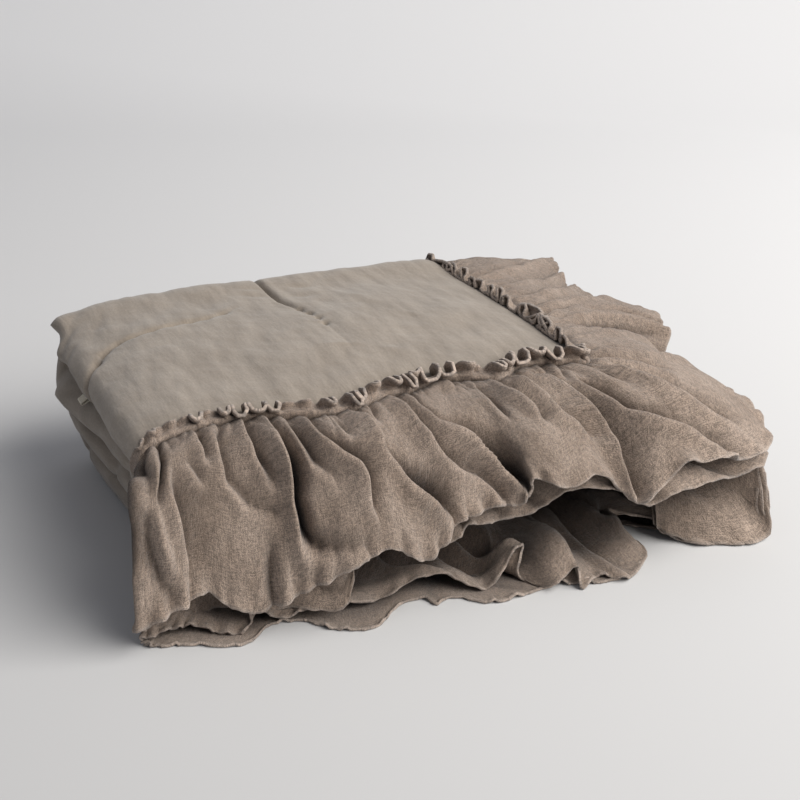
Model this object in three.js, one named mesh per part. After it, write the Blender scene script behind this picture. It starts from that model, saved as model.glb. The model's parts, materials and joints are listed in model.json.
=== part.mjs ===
// A wadded linen baby blanket with a gathered gauze ruffle all round, folded into a soft pile.
//
// The quilt is folded once across its width, with the fold at the left, and then three times along its
// length, so four double levels lie back and forth on each other. Everything is first laid out square,
// and settle() then lets the pile sag and lean as cloth does. Millimetres, +X to the right along the
// front edge, +Y to the back, +Z up.
import * as THREE from "three";

// ---- Driving dimensions ----
const FOLDED_WIDTH = 380; // half of the 760 mm quilt
const FOLDED_DEPTH = 318; // about a quarter of its length
const LEVELS = 4;
const LAYER = 14; // one thickness of the wadded quilt
const INNER_GAP = 3; // between the two layers of one level
const LEVEL_GAP = 7.5; // between levels, where the ruffles' seams lie
const RUFFLE_DEPTH = 145; // from the quilt's edge to the hem
const HEADING = 12; // the ruffle's top edge lies this far in on the quilt
const HEADING_RISE = 7; // how far the ruched heading stands up where it is free
const GAUZE = 1.5; // the washed gauze with its crinkle
const SEAM_CLEAR = 0.9; // between the gauze and the quilt
const LABEL = { width: 12, reach: 26, root: 22, tape: 0.9, loop: 1.2, clear: 0.5, y: 196 };

const HALF_LEVEL = LAYER + INNER_GAP / 2;
const LEVEL_PITCH = 2 * HALF_LEVEL + LEVEL_GAP;
const STACK = (LEVELS - 1) * LEVEL_PITCH + 2 * HALF_LEVEL;
const TURN_RADIUS = LEVEL_PITCH / 2;
const TURN_STEPS = 5;
const SEAM_OFFSET = HALF_LEVEL + SEAM_CLEAR + GAUZE / 2; // the gauze's middle, from a level's middle
const CORNER_RADIUS = 14; // of the ruffle's seam at the quilt's corner
const CORNER_ARC = (CORNER_RADIUS * Math.PI) / 2;
const EDGE_ROLL = 16; // the quilt thins over this much of its open edges
const QUILTING = { column: 192, row: 200, depth: 5, half_width: 9 };

// ---- How the pile settles ----
// Over this much of each side of a level, its cloth drops this far.
const SAG = {
  left: { over: 64, drop: 13 },
  back: { over: 60, drop: 2 },
  front: { over: 50, drop: 4 },
  right: { over: 50, drop: 3 },
};
const CROWN = 10; // how far the middle of the pile stands above its sides
const RECESS = { front_left: 40, back_left: 22, right: 12 }; // how far right the floor lies of the top
const SET_BACK = { left: 52, right: 20 }; // how far back the floor's front edge lies of the top's
const BOW = 7; // how far the right edge swells out halfway along
const DRAWN_CORNER = { in: 6, over: 90 }; // the back left corner
const SEAM_LIFT = { rise: 4, inside: 36, over: 20 }; // the bottom layer rises here to clear its seam

// ---- Hand-set unevenness ----
// How far in from the front edge the top level lies, along that edge.
const FRONT_SWAY = [
  { at: 0, in: 3 },
  { at: 80, in: 6 },
  { at: 150, in: -13 },
  { at: 205, in: 2 },
  { at: 250, in: 13 },
  { at: 286, in: -4 },
  { at: 318, in: 13 },
  { at: 380, in: 1 },
];

// The ruffle's fall along the front edge and then the right one. at: distance from the front left
// corner. bearing: which way the top layer runs out, in degrees from +X. knee: how far out it runs
// before it falls. reach and hem: how far out and how high its hem ends. floor_bearing and floor_reach:
// the same for the bottom layer, which lies on the floor.
const RUFFLE_FALL = [
  { at: 0, bearing: -112, knee: 36, reach: 50, hem: 21, floor_bearing: -122, floor_reach: 98 },
  { at: 60, bearing: -97, knee: 40, reach: 52, hem: 29, floor_bearing: -98, floor_reach: 106 },
  { at: 140, bearing: -90, knee: 48, reach: 64, hem: 44, floor_bearing: -90, floor_reach: 114 },
  { at: 220, bearing: -88, knee: 52, reach: 74, hem: 66, floor_bearing: -88, floor_reach: 120 },
  { at: 290, bearing: -85, knee: 57, reach: 84, hem: 93, floor_bearing: -88, floor_reach: 124 },
  { at: 330, bearing: -76, knee: 62, reach: 98, hem: 109, floor_bearing: -88, floor_reach: 120 },
  { at: 350, bearing: -64, knee: 66, reach: 120, hem: 111, floor_bearing: -86, floor_reach: 104 },
  { at: 362, bearing: -55, knee: 69, reach: 136, hem: 109, floor_bearing: -76, floor_reach: 66 },
  { at: 374, bearing: -46, knee: 71, reach: 144, hem: 106, floor_bearing: -62, floor_reach: 112 },
  { at: 390, bearing: -36, knee: 71, reach: 145, hem: 102, floor_bearing: -46, floor_reach: 150 },
  { at: 416, bearing: -22, knee: 69, reach: 136, hem: 97, floor_bearing: -26, floor_reach: 168 },
  { at: 460, bearing: -9, knee: 65, reach: 124, hem: 97, floor_bearing: -10, floor_reach: 156 },
  { at: 560, bearing: 0, knee: 60, reach: 120, hem: 106, floor_bearing: 0, floor_reach: 142 },
  { at: 692, bearing: 14, knee: 54, reach: 120, hem: 119, floor_bearing: 14, floor_reach: 134 },
];

// The ruffle's main folds at the hem. lift: out of the top layer's surface, a crest or a trough.
// floor_lift: how far the bottom layer stands off the floor there.
const RUFFLE_FOLDS = [
  { at: -6, lift: 3, floor_lift: 0 },
  { at: 32, lift: -8, floor_lift: 0 },
  { at: 58, lift: 9, floor_lift: 3 },
  { at: 88, lift: -7, floor_lift: 6 },
  { at: 118, lift: 8, floor_lift: 1 },
  { at: 144, lift: -3, floor_lift: 12 },
  { at: 164, lift: 3, floor_lift: 2 },
  { at: 190, lift: -10, floor_lift: 16 },
  { at: 214, lift: 9, floor_lift: 3 },
  { at: 240, lift: -3, floor_lift: 30 },
  { at: 264, lift: -9, floor_lift: 6 },
  { at: 290, lift: 7, floor_lift: 42 },
  { at: 312, lift: -4, floor_lift: 22 },
  { at: 330, lift: 8, floor_lift: 4 },
  { at: 346, lift: -7, floor_lift: 8 },
  { at: 360, lift: 8, floor_lift: 16 },
  { at: 374, lift: -8, floor_lift: 8 },
  { at: 386, lift: 8, floor_lift: 3 },
  { at: 402, lift: -8, floor_lift: 9 },
  { at: 420, lift: 9, floor_lift: 1 },
  { at: 446, lift: -8, floor_lift: 8 },
  { at: 480, lift: 9, floor_lift: 1 },
  { at: 518, lift: -9, floor_lift: 7 },
  { at: 560, lift: 8, floor_lift: 1 },
  { at: 604, lift: -8, floor_lift: 8 },
  { at: 648, lift: 8, floor_lift: 1 },
  { at: 694, lift: -4, floor_lift: 5 },
];

// How the layers share the height at the hem. seam: a layer's height at its seam, as a share of the
// pile. front and side: its share of the height of the top hem, on the front and on the right side.
const seamShare = (level, sign) => (levelHeight(level) + sign * SEAM_OFFSET) / STACK;
const levelHeight = (level) => (LEVELS - 1 - level) * LEVEL_PITCH + HALF_LEVEL;
const HEM_SHARES = [
  { seam: seamShare(3, -1), front: 0, side: 0 },
  { seam: seamShare(3, 1), front: 0.3, side: 0.15 },
  { seam: seamShare(2, -1), front: 0.42, side: 0.29 },
  { seam: seamShare(2, 1), front: 0.48, side: 0.43 },
  { seam: seamShare(1, -1), front: 0.52, side: 0.57 },
  { seam: seamShare(1, 1), front: 0.58, side: 0.71 },
  { seam: seamShare(0, -1), front: 0.6, side: 0.85 },
  { seam: seamShare(0, 1), front: 1, side: 1 },
];

// The hems between the top one and the bottom one end this much further in.
const FRONT_TUCK = 9;
const SIDE_TUCK = 3;

// The front's ways of falling give way to the right side's over this stretch.
const TURN_OF_FALL = { from: 330, over: 90 };

// ---- Small functions ----
const clamp = (t) => Math.min(1, Math.max(0, t));
const mix = (a, b, t) => a + (b - a) * t;
const range = (from, to) => Array.from({ length: to - from + 1 }, (_, i) => from + i);
const ease = (t) => clamp(t) ** 2 * (3 - 2 * clamp(t));

// One column of a table at a place, eased from row to row.
function read(table, key, column, place) {
  const last = table.length - 1;
  if (place <= table[0][key]) return table[0][column];
  if (place >= table[last][key]) return table[last][column];
  const next = table.findIndex((row) => row[key] > place);
  const before = table[next - 1];
  const after = table[next];
  const share = (place - before[key]) / (after[key] - before[key]);
  return mix(before[column], after[column], ease(share));
}

// The square layout, settled: lower levels sit in from the left and front, the top is crowned and its
// edges drop, and the back left corner is drawn in.
function settle(x, y, z) {
  const height = z / STACK;
  const across = x / FOLDED_WIDTH;
  const back = y / FOLDED_DEPTH;
  const from_back = FOLDED_DEPTH - y;
  const from_right = FOLDED_WIDTH - x;
  const near = (distance, over) => clamp(1 - distance / over) ** 2;
  const corner = DRAWN_CORNER.in * near(x, DRAWN_CORNER.over) * near(from_back, DRAWN_CORNER.over);
  const recess = mix(RECESS.front_left, RECESS.back_left, back) * (1 - across) + RECESS.right * across;
  const bow = BOW * Math.sin(Math.PI * clamp(back)) * across * height;
  const set_back = mix(SET_BACK.left, SET_BACK.right, across) * (1 - back);
  const sway = read(FRONT_SWAY, "at", "in", x) * clamp(1 - back) ** 2 * height;
  const drop =
    SAG.left.drop * near(x, SAG.left.over) +
    SAG.back.drop * near(from_back, SAG.back.over) +
    SAG.front.drop * near(y, SAG.front.over) +
    SAG.right.drop * near(from_right, SAG.right.over);
  const crown = CROWN * Math.sin(Math.PI * clamp(across)) * Math.sin(Math.PI * clamp(back));
  const near_seam = ease((SEAM_LIFT.inside - Math.min(from_right, y)) / SEAM_LIFT.over);
  const seam_lift = SEAM_LIFT.rise * near_seam * clamp(1 - height) ** 2;
  return new THREE.Vector3(
    x + corner + (1 - height) * recess + bow,
    y - corner + (1 - height) * set_back + sway,
    z * (1 + (crown - drop) / STACK) + seam_lift,
  );
}

// A closed solid from rings of points. face and back list a ring's points along the two sides of the
// sheet, from one edge to the other, and the strip between them closes both ends.
function solidFromRings(rings, face, back) {
  const count = rings[0].length;
  const position = rings.flat().flatMap((p) => [p.x, p.y, p.z]);
  const index = [];
  for (let r = 0; r + 1 < rings.length; r++) {
    for (let i = 0; i < count; i++) {
      const j = (i + 1) % count;
      const [a, b] = [r * count + i, r * count + j];
      const [c, d] = [a + count, b + count];
      // The second half of a ring is the sheet's other face, and its quads are cut on the same diagonal.
      if (i < count / 2) index.push(a, b, d, a, d, c);
      else index.push(a, b, c, b, d, c);
    }
  }
  const last = (rings.length - 1) * count;
  let [i, j] = [0, 0];
  while (i + 1 < face.length || j + 1 < back.length) {
    const step_face = (i + 1) * (back.length - 1) <= (j + 1) * (face.length - 1);
    const [a, b, c] = step_face ? [face[i++], face[i], back[j]] : [face[i], back[j + 1], back[j++]];
    index.push(a, c, b, last + a, last + b, last + c);
  }
  const geometry = new THREE.BufferGeometry();
  geometry.setAttribute("position", new THREE.Float32BufferAttribute(position, 3));
  geometry.setIndex(index);
  geometry.computeVertexNormals();
  return geometry;
}

// The back-and-forth path of the levels, seen from the right: y and z of the middle of the level, and
// the unit direction (side_y, side_z) of the layer that is outermost at the top.
function levelPath(runs, first, last) {
  const turn_in = TURN_RADIUS + HALF_LEVEL;
  const stops = [];
  for (let level = first; level <= last; level++) {
    const forward = level % 2 === 0;
    const z = levelHeight(level);
    const places = forward ? runs : [...runs].reverse();
    for (const y of places) {
      const open_front = level === 0 || level === LEVELS - 1;
      const lowest = open_front ? 0 : turn_in;
      if (y < lowest || y > FOLDED_DEPTH - turn_in) continue;
      stops.push({ y, z, side_y: 0, side_z: forward ? 1 : -1, level });
    }
    if (level === last) break;
    const turn_y = forward ? FOLDED_DEPTH - turn_in : turn_in;
    for (let step = 1; step < TURN_STEPS; step++) {
      const angle = (Math.PI * step) / TURN_STEPS;
      const [out, up] = [Math.sin(angle), Math.cos(angle)];
      const sign = forward ? 1 : -1;
      stops.push({
        y: turn_y + sign * TURN_RADIUS * out,
        z: z - TURN_RADIUS + TURN_RADIUS * up,
        side_y: out,
        side_z: sign * up,
        level: level + 0.5,
      });
    }
  }
  return stops;
}

// ---- The quilt: a hairpin of two wadded layers, swept along the path of the levels ----
function makeQuilt() {
  const turn_in = TURN_RADIUS + HALF_LEVEL;
  const { column, row, depth, half_width } = QUILTING;
  const across = [
    HALF_LEVEL, 34, 62, 124, column - half_width, column, column + half_width, 258, 330,
    FOLDED_WIDTH - EDGE_ROLL, FOLDED_WIDTH,
  ];
  const inside = [HALF_LEVEL, 62, 160, 258, FOLDED_WIDTH - EDGE_ROLL, FOLDED_WIDTH];
  const line = [row - half_width, row, row + half_width];
  const runs = [0, EDGE_ROLL, turn_in, 112, ...line, 250, FOLDED_DEPTH - turn_in];
  const drawn = (x, y, level) => {
    const at_column = clamp(1 - Math.abs(x - column) / half_width);
    const at_row = level % 1 ? 0 : clamp(1 - Math.abs(y - row) / half_width);
    const at_edge = 0.8 * clamp((x - FOLDED_WIDTH + EDGE_ROLL) / EDGE_ROLL);
    const open_front = level === 0 || level === LEVELS - 1;
    const at_front = open_front ? 0.8 * clamp(1 - y / EDGE_ROLL) : 0;
    return depth * Math.max(at_column, at_row, at_edge, at_front);
  };
  const section = (y, level) => {
    const bend = (radius, degrees) =>
      degrees.map((a) => {
        const t = THREE.MathUtils.degToRad(a);
        return [HALF_LEVEL - radius * Math.cos(t), radius * Math.sin(t)];
      });
    return [
      ...across.map((x) => [x, HALF_LEVEL - drawn(x, y, level)]),
      ...inside.map((x) => [x, INNER_GAP / 2]).reverse(),
      ...bend(INNER_GAP / 2, [0]),
      ...inside.map((x) => [x, -INNER_GAP / 2]),
      ...across.map((x) => [x, drawn(x, y, level) - HALF_LEVEL]).reverse(),
      ...bend(HALF_LEVEL, [-55, -20, 20, 55]),
    ];
  };
  const rings = levelPath(runs, 0, LEVELS - 1).map(({ y, z, side_y, side_z, level }) =>
    section(y, level).map(([x, off]) => settle(x, y + side_y * off, z + side_z * off)),
  );
  const count = rings[0].length;
  const inner = across.length + 2 * inside.length;
  const face = [...range(inner + 1, count - 1), ...range(0, across.length - 1)];
  return solidFromRings(rings, face, range(across.length, inner).reverse());
}

// ---- The ruffle ----
// A stop on the quilt's edge: its place in the square layout, the way out from it, and at, its distance
// along the front edge and round the corner.
const frontStop = (x, z) => ({ x, y: 0, z, out_x: 0, out_y: -1, at: x });
const sideStop = (y, z) => ({
  x: FOLDED_WIDTH,
  y,
  z,
  out_x: 1,
  out_y: 0,
  at: FOLDED_WIDTH - 2 * CORNER_RADIUS + CORNER_ARC + y,
});
function cornerStop(share, z) {
  const angle = (share - 1) * (Math.PI / 2);
  return {
    x: FOLDED_WIDTH + CORNER_RADIUS * (Math.cos(angle) - 1),
    y: CORNER_RADIUS * (1 + Math.sin(angle)),
    z,
    out_x: Math.cos(angle),
    out_y: Math.sin(angle),
    at: FOLDED_WIDTH - CORNER_RADIUS + share * CORNER_ARC,
  };
}

// A point of the gauze's middle, w from the quilt's edge, negative on the quilt.
function gauzePoint(stop, w) {
  const inset = Math.max(0, -w);
  const seam = settle(stop.x - stop.out_x * inset, stop.y - stop.out_y * inset, stop.z);
  const fall = (column) => read(RUFFLE_FALL, "at", column, stop.at);
  const height = clamp(stop.z / STACK);
  if (w <= 0) {
    const free = clamp((stop.z - levelHeight(0)) / SEAM_OFFSET) ** 4;
    seam.z += free * HEADING_RISE * (inset / HEADING) ** 2;
    return seam;
  }
  const v = w / RUFFLE_DEPTH;
  const front = 1 - ease((stop.at - TURN_OF_FALL.from) / TURN_OF_FALL.over);
  const hem_share = mix(
    read(HEM_SHARES, "seam", "side", stop.z / STACK),
    read(HEM_SHARES, "seam", "front", stop.z / STACK),
    front,
  );
  const share = mix(height, hem_share, ease(v));
  const top_out = 2 * v * (1 - v) * fall("knee") + v * v * fall("reach");
  const bearing = THREE.MathUtils.degToRad(mix(fall("floor_bearing"), fall("bearing"), share));
  const crest = read(RUFFLE_FOLDS, "at", "lift", stop.at) * v ** 1.3 * clamp(share / HEM_SHARES[6].front);
  const floor_lift = read(RUFFLE_FOLDS, "at", "floor_lift", stop.at) * v ** 1.5;
  const steep = Math.atan2(STACK - fall("hem"), fall("reach")) * ease(v * 1.5);
  const tuck = mix(SIDE_TUCK, FRONT_TUCK, front) * v * 4 * share * (1 - share);
  const out = mix(v * fall("floor_reach"), top_out, share) + crest * Math.sin(steep) - tuck;
  const ground = GAUZE / 2 + 0.1;
  const kept = 1 - v * v * (1 - fall("hem") / STACK);
  const base = mix(seam.z, share * STACK, ease(v));
  const edge = settle(stop.x, stop.y, 0).lerp(settle(stop.x, stop.y, STACK), share);
  const z = ground + (base - ground * (1 - share)) * kept;
  return new THREE.Vector3(
    edge.x + out * Math.cos(bearing),
    edge.y + out * Math.sin(bearing),
    Math.max(ground, z + crest * Math.cos(steep) + (1 - share) * floor_lift),
  );
}

// Where the stops fall: on each main fold and halfway between two.
function foldPlaces(from, to) {
  const places = [];
  RUFFLE_FOLDS.forEach(({ at }, i) => {
    places.push(at);
    if (i + 1 < RUFFLE_FOLDS.length) places.push((at + RUFFLE_FOLDS[i + 1].at) / 2);
  });
  return places.filter((at) => at > from && at < to);
}

// One strip runs along the right edge of two levels, round the corner, along the front edge and round
// the left fold, and back the same way on the level's other layer.
function makeRuffle(open_level, inner_level, first_side) {
  const corner_end = FOLDED_WIDTH - CORNER_RADIUS + CORNER_ARC;
  const side_start = FOLDED_WIDTH - 2 * CORNER_RADIUS + CORNER_ARC;
  const runs = foldPlaces(corner_end, 1e3).map((at) => at - side_start);
  const turn_in = TURN_RADIUS + HALF_LEVEL;
  const [first, last] = [Math.min(open_level, inner_level), Math.max(open_level, inner_level)];
  const path = levelPath([...runs, FOLDED_DEPTH - turn_in], first, last);
  if (open_level === LEVELS - 1) path.reverse();
  // Half of the front turn, up to the join with the other strip.
  const turn_sign = open_level === 0 ? 1 : -1;
  for (const angle of [0, 1, 2, 2.3].map((step) => (Math.PI * step) / TURN_STEPS)) {
    path.push({
      y: turn_in - TURN_RADIUS * Math.sin(angle),
      z: levelHeight(inner_level) - turn_sign * TURN_RADIUS * (1 - Math.cos(angle)),
      side_y: Math.sin(angle),
      side_z: -turn_sign * Math.cos(angle),
    });
  }
  const side = (sign) =>
    path.map(({ y, z, side_y, side_z }) =>
      sideStop(y + sign * side_y * SEAM_OFFSET, z + sign * side_z * SEAM_OFFSET),
    );
  const middle = levelHeight(open_level);
  const face = open_level % 2 === 0 ? 1 : -1;
  const corner = (sign) => [1, 0.66, 0.33, 0].map((t) => cornerStop(t, middle + sign * SEAM_OFFSET));
  const front = (sign) =>
    foldPlaces(HALF_LEVEL, FOLDED_WIDTH - CORNER_RADIUS)
      .reverse()
      .map((x) => frontStop(x, middle + sign * SEAM_OFFSET));
  const bend = [-90, -54, -18, 18, 54, 90].map((degrees) => {
    const a = THREE.MathUtils.degToRad(degrees);
    const [out, up] = [SEAM_OFFSET * Math.cos(a), -first_side * SEAM_OFFSET * Math.sin(a)];
    return frontStop(HALF_LEVEL - out, middle + up);
  });
  const half = (sign) => [...side(sign * face).reverse(), ...corner(sign), ...front(sign)];
  const stops = [...half(first_side), ...bend, ...half(-first_side).reverse()];
  return gauzeSolid(stops);
}

// The gauze's middle surface, thickened to both sides.
function gauzeSolid(stops) {
  const down = [-HEADING, -3, 30, 86, RUFFLE_DEPTH];
  const grid = stops.map((stop) => down.map((w) => gauzePoint(stop, w)));
  const within = (i, length) => Math.min(length - 1, Math.max(0, i));
  const at = (i, j) => grid[within(i, grid.length)][within(j, down.length)];
  const rings = grid.map((line, i) => {
    const front = [];
    const back = [];
    line.forEach((point, j) => {
      const along = at(i + 1, j).clone().sub(at(i - 1, j));
      const out = at(i, j + 1).clone().sub(at(i, j - 1));
      const normal = along.cross(out).normalize().multiplyScalar(GAUZE / 2);
      front.push(point.clone().add(normal));
      back.push(point.clone().sub(normal));
    });
    return [...back, ...front.reverse()];
  });
  const rows = down.length;
  return solidFromRings(rings, range(0, rows - 1), range(rows, 2 * rows - 1).reverse());
}

// ---- The label: a loop of plain tape held in the left side of the pile, under the top level ----
function makeLabel() {
  const { width, reach, tape, loop, y } = LABEL;
  const outer = tape + loop / 2;
  const straight = reach - outer;
  const profile = new THREE.Shape();
  profile.moveTo(straight, outer);
  profile.lineTo(0, outer);
  profile.absarc(0, 0, outer, Math.PI / 2, (3 * Math.PI) / 2, false);
  profile.lineTo(straight, -outer);
  profile.lineTo(straight, -loop / 2);
  profile.lineTo(0, -loop / 2);
  profile.absarc(0, 0, loop / 2, (3 * Math.PI) / 2, Math.PI / 2, true);
  profile.lineTo(straight, loop / 2);
  profile.closePath();
  const depth = width;
  const geometry = new THREE.ExtrudeGeometry(profile, { depth, bevelEnabled: false, curveSegments: 4 });
  geometry.rotateX(Math.PI / 2);
  return geometry;
}

// ---- Assembly ----
const linen = new THREE.MeshStandardMaterial({ color: 0x8d8072, roughness: 0.92, metalness: 0 });
const gauze = new THREE.MeshStandardMaterial({ color: 0x857464, roughness: 0.95, metalness: 0 });
const tape = new THREE.MeshStandardMaterial({ color: 0xd9d2c4, roughness: 0.85, metalness: 0 });

function named(name, geometry, material) {
  const mesh = new THREE.Mesh(geometry, material);
  mesh.name = name;
  return mesh;
}

const blanket = new THREE.Group();
const label = named("label", makeLabel(), tape);
const label_height = levelHeight(0) - HALF_LEVEL - LABEL.clear - LABEL.tape - LABEL.loop / 2;
const label_root = settle(LABEL.root, LABEL.y, label_height);
const label_tip = settle(LABEL.root - LABEL.reach, LABEL.y, label_height);
label.position.copy(label_tip);
label.rotation.y = Math.atan2(label_tip.z - label_root.z, label_root.x - label_tip.x);
blanket.add(
  named("quilt", makeQuilt(), linen),
  named("ruffle_upper", makeRuffle(0, 1, -1), gauze),
  named("ruffle_lower", makeRuffle(3, 2, 1), gauze),
  label,
);

// The origin is under the middle of the whole pile, on the surface it lies on.
const box = new THREE.Box3().setFromObject(blanket);
const middle = box.getCenter(new THREE.Vector3());
blanket.children.forEach((mesh) => mesh.position.sub(new THREE.Vector3(middle.x, middle.y, box.min.z)));

export default blanket;
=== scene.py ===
"""A baby's blanket, folded into a soft pile: a wadded linen quilt with a long gathered gauze ruffle
along its open edges, and a small loop of cotton tape caught in the side of the pile."""
import json
import math

import bpy
import mathutils
import numpy as np
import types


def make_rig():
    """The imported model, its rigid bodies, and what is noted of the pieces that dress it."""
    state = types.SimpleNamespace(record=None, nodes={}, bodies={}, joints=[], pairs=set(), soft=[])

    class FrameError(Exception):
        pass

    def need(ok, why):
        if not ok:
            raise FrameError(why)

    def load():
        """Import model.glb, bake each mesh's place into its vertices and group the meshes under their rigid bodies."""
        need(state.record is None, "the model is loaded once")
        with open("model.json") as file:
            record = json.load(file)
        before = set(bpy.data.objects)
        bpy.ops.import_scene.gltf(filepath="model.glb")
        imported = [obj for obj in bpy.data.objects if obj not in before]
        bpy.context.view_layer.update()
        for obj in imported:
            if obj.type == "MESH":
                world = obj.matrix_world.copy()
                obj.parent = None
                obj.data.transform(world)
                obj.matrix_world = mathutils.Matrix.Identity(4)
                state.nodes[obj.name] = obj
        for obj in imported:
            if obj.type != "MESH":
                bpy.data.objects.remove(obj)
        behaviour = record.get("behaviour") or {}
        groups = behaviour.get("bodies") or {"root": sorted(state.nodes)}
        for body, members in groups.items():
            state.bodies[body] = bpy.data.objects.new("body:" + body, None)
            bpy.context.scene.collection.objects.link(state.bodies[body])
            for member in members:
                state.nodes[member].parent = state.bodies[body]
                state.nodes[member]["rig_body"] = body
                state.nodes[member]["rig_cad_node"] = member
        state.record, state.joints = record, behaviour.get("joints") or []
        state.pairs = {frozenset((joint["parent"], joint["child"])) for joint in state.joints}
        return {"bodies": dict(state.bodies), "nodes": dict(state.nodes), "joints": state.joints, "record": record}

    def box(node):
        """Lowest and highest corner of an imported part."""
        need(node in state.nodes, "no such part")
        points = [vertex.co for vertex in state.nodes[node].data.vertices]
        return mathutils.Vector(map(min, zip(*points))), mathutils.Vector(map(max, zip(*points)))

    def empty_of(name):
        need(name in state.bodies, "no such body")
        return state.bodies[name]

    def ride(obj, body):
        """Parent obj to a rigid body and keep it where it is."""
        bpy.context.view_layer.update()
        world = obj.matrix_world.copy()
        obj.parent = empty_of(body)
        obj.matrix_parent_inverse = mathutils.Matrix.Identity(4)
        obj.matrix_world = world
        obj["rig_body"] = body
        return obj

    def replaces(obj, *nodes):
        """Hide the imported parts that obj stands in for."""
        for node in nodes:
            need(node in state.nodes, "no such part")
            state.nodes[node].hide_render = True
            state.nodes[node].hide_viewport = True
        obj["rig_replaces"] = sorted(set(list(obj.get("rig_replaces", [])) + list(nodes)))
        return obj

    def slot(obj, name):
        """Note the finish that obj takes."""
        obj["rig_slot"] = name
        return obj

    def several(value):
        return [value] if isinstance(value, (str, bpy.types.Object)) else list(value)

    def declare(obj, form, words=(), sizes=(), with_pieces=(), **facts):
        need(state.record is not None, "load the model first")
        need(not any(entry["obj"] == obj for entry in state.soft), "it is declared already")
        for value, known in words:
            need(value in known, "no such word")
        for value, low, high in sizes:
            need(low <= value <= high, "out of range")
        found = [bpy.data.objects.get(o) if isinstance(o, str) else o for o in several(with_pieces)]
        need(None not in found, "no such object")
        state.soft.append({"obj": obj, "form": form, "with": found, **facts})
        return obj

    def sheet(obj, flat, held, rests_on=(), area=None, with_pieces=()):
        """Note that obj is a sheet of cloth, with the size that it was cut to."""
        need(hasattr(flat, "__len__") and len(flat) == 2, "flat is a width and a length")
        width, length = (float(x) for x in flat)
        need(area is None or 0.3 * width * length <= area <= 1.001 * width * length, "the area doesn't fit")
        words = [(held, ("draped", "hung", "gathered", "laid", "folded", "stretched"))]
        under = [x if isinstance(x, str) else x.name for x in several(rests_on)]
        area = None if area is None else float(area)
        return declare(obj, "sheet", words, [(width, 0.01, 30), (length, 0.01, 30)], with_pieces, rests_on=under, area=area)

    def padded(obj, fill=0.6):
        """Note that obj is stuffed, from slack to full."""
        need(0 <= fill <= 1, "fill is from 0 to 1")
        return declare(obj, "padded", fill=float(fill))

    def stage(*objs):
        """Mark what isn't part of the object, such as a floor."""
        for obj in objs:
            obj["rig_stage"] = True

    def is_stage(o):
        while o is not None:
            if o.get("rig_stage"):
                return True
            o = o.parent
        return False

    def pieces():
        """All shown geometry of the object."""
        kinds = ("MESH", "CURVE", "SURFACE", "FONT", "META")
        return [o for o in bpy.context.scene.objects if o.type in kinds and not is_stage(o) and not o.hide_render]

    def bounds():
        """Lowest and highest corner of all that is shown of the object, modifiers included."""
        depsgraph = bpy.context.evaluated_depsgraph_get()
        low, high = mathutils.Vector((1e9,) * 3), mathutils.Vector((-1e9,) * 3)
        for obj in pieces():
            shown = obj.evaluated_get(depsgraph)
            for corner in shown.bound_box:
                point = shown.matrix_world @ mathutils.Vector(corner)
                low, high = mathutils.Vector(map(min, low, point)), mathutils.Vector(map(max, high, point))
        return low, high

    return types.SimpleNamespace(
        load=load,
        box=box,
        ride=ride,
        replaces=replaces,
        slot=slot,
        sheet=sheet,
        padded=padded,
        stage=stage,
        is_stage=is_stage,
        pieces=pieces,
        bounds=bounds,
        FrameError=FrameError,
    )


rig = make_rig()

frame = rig.load()
size_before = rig.bounds()

# ---- The quilt ----
# Two layers of washed linen with wadding between, quilted by hand in large squares. It is folded once
# along its left side, like a hairpin, and then back and forth into four levels.
FOLDED_WIDTH = 380  # mm, as all sizes of the cloth are: x, from the front left corner to the right,
FOLDED_DEPTH = 318  # and y, from there to the back
LEVELS = 4
HALF_LEVEL = 15.5  # from a level's middle to its outer face
INNER_FACE = 1.5  # and to its inner face, inside the hairpin
LEVEL_PITCH = 38.5
STACK = (LEVELS - 1) * LEVEL_PITCH + 2 * HALF_LEVEL
TURN_RADIUS = LEVEL_PITCH / 2  # of the folds at the back and the front
TURN_IN = TURN_RADIUS + HALF_LEVEL
EDGE_ROLL = 16  # the open edges thin over this much,
EDGE_THIN = 2.5  # by this much on each face


def mix(a, b, t):
    return a + (b - a) * t


def clamp(t, low=0, high=1):
    return np.clip(t, low, high)


def ease(t):
    return clamp(t) ** 2 * (3 - 2 * clamp(t))


def read(table, column, place):
    """One column of a table at each place, eased from row to row."""
    rows = np.array(table, float)
    keys, values = rows[:, 0], rows[:, column]
    i = np.clip(np.searchsorted(keys, place, side="right"), 1, len(keys) - 1)
    t = (place - keys[i - 1]) / (keys[i] - keys[i - 1])
    return mix(values[i - 1], values[i], ease(t))


# How the pile settles.
SAG = {"left": (64, 13), "back": (60, 2), "front": (50, 4), "right": (50, 3)}  # over, drop
CROWN = 10  # how much higher the top is in the middle
RECESS = {"front_left": 40, "back_left": 22, "right": 12}  # how far in the lowest level lies
SET_BACK = {"left": 52, "right": 20}  # and how far back, in front
BOW = 7  # of the top's right edge
DRAWN_CORNER = (6, 90)  # the back left corner: inward, over
SEAM_LIFT = {"rise": 4, "inside": 36, "over": 20}  # the lowest level, over the gauze under its edge
FRONT_SWAY = [(0, 3), (80, 6), (150, -13), (205, 2), (250, 13), (286, -4), (318, 13), (380, 1)]  # x, in


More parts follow.
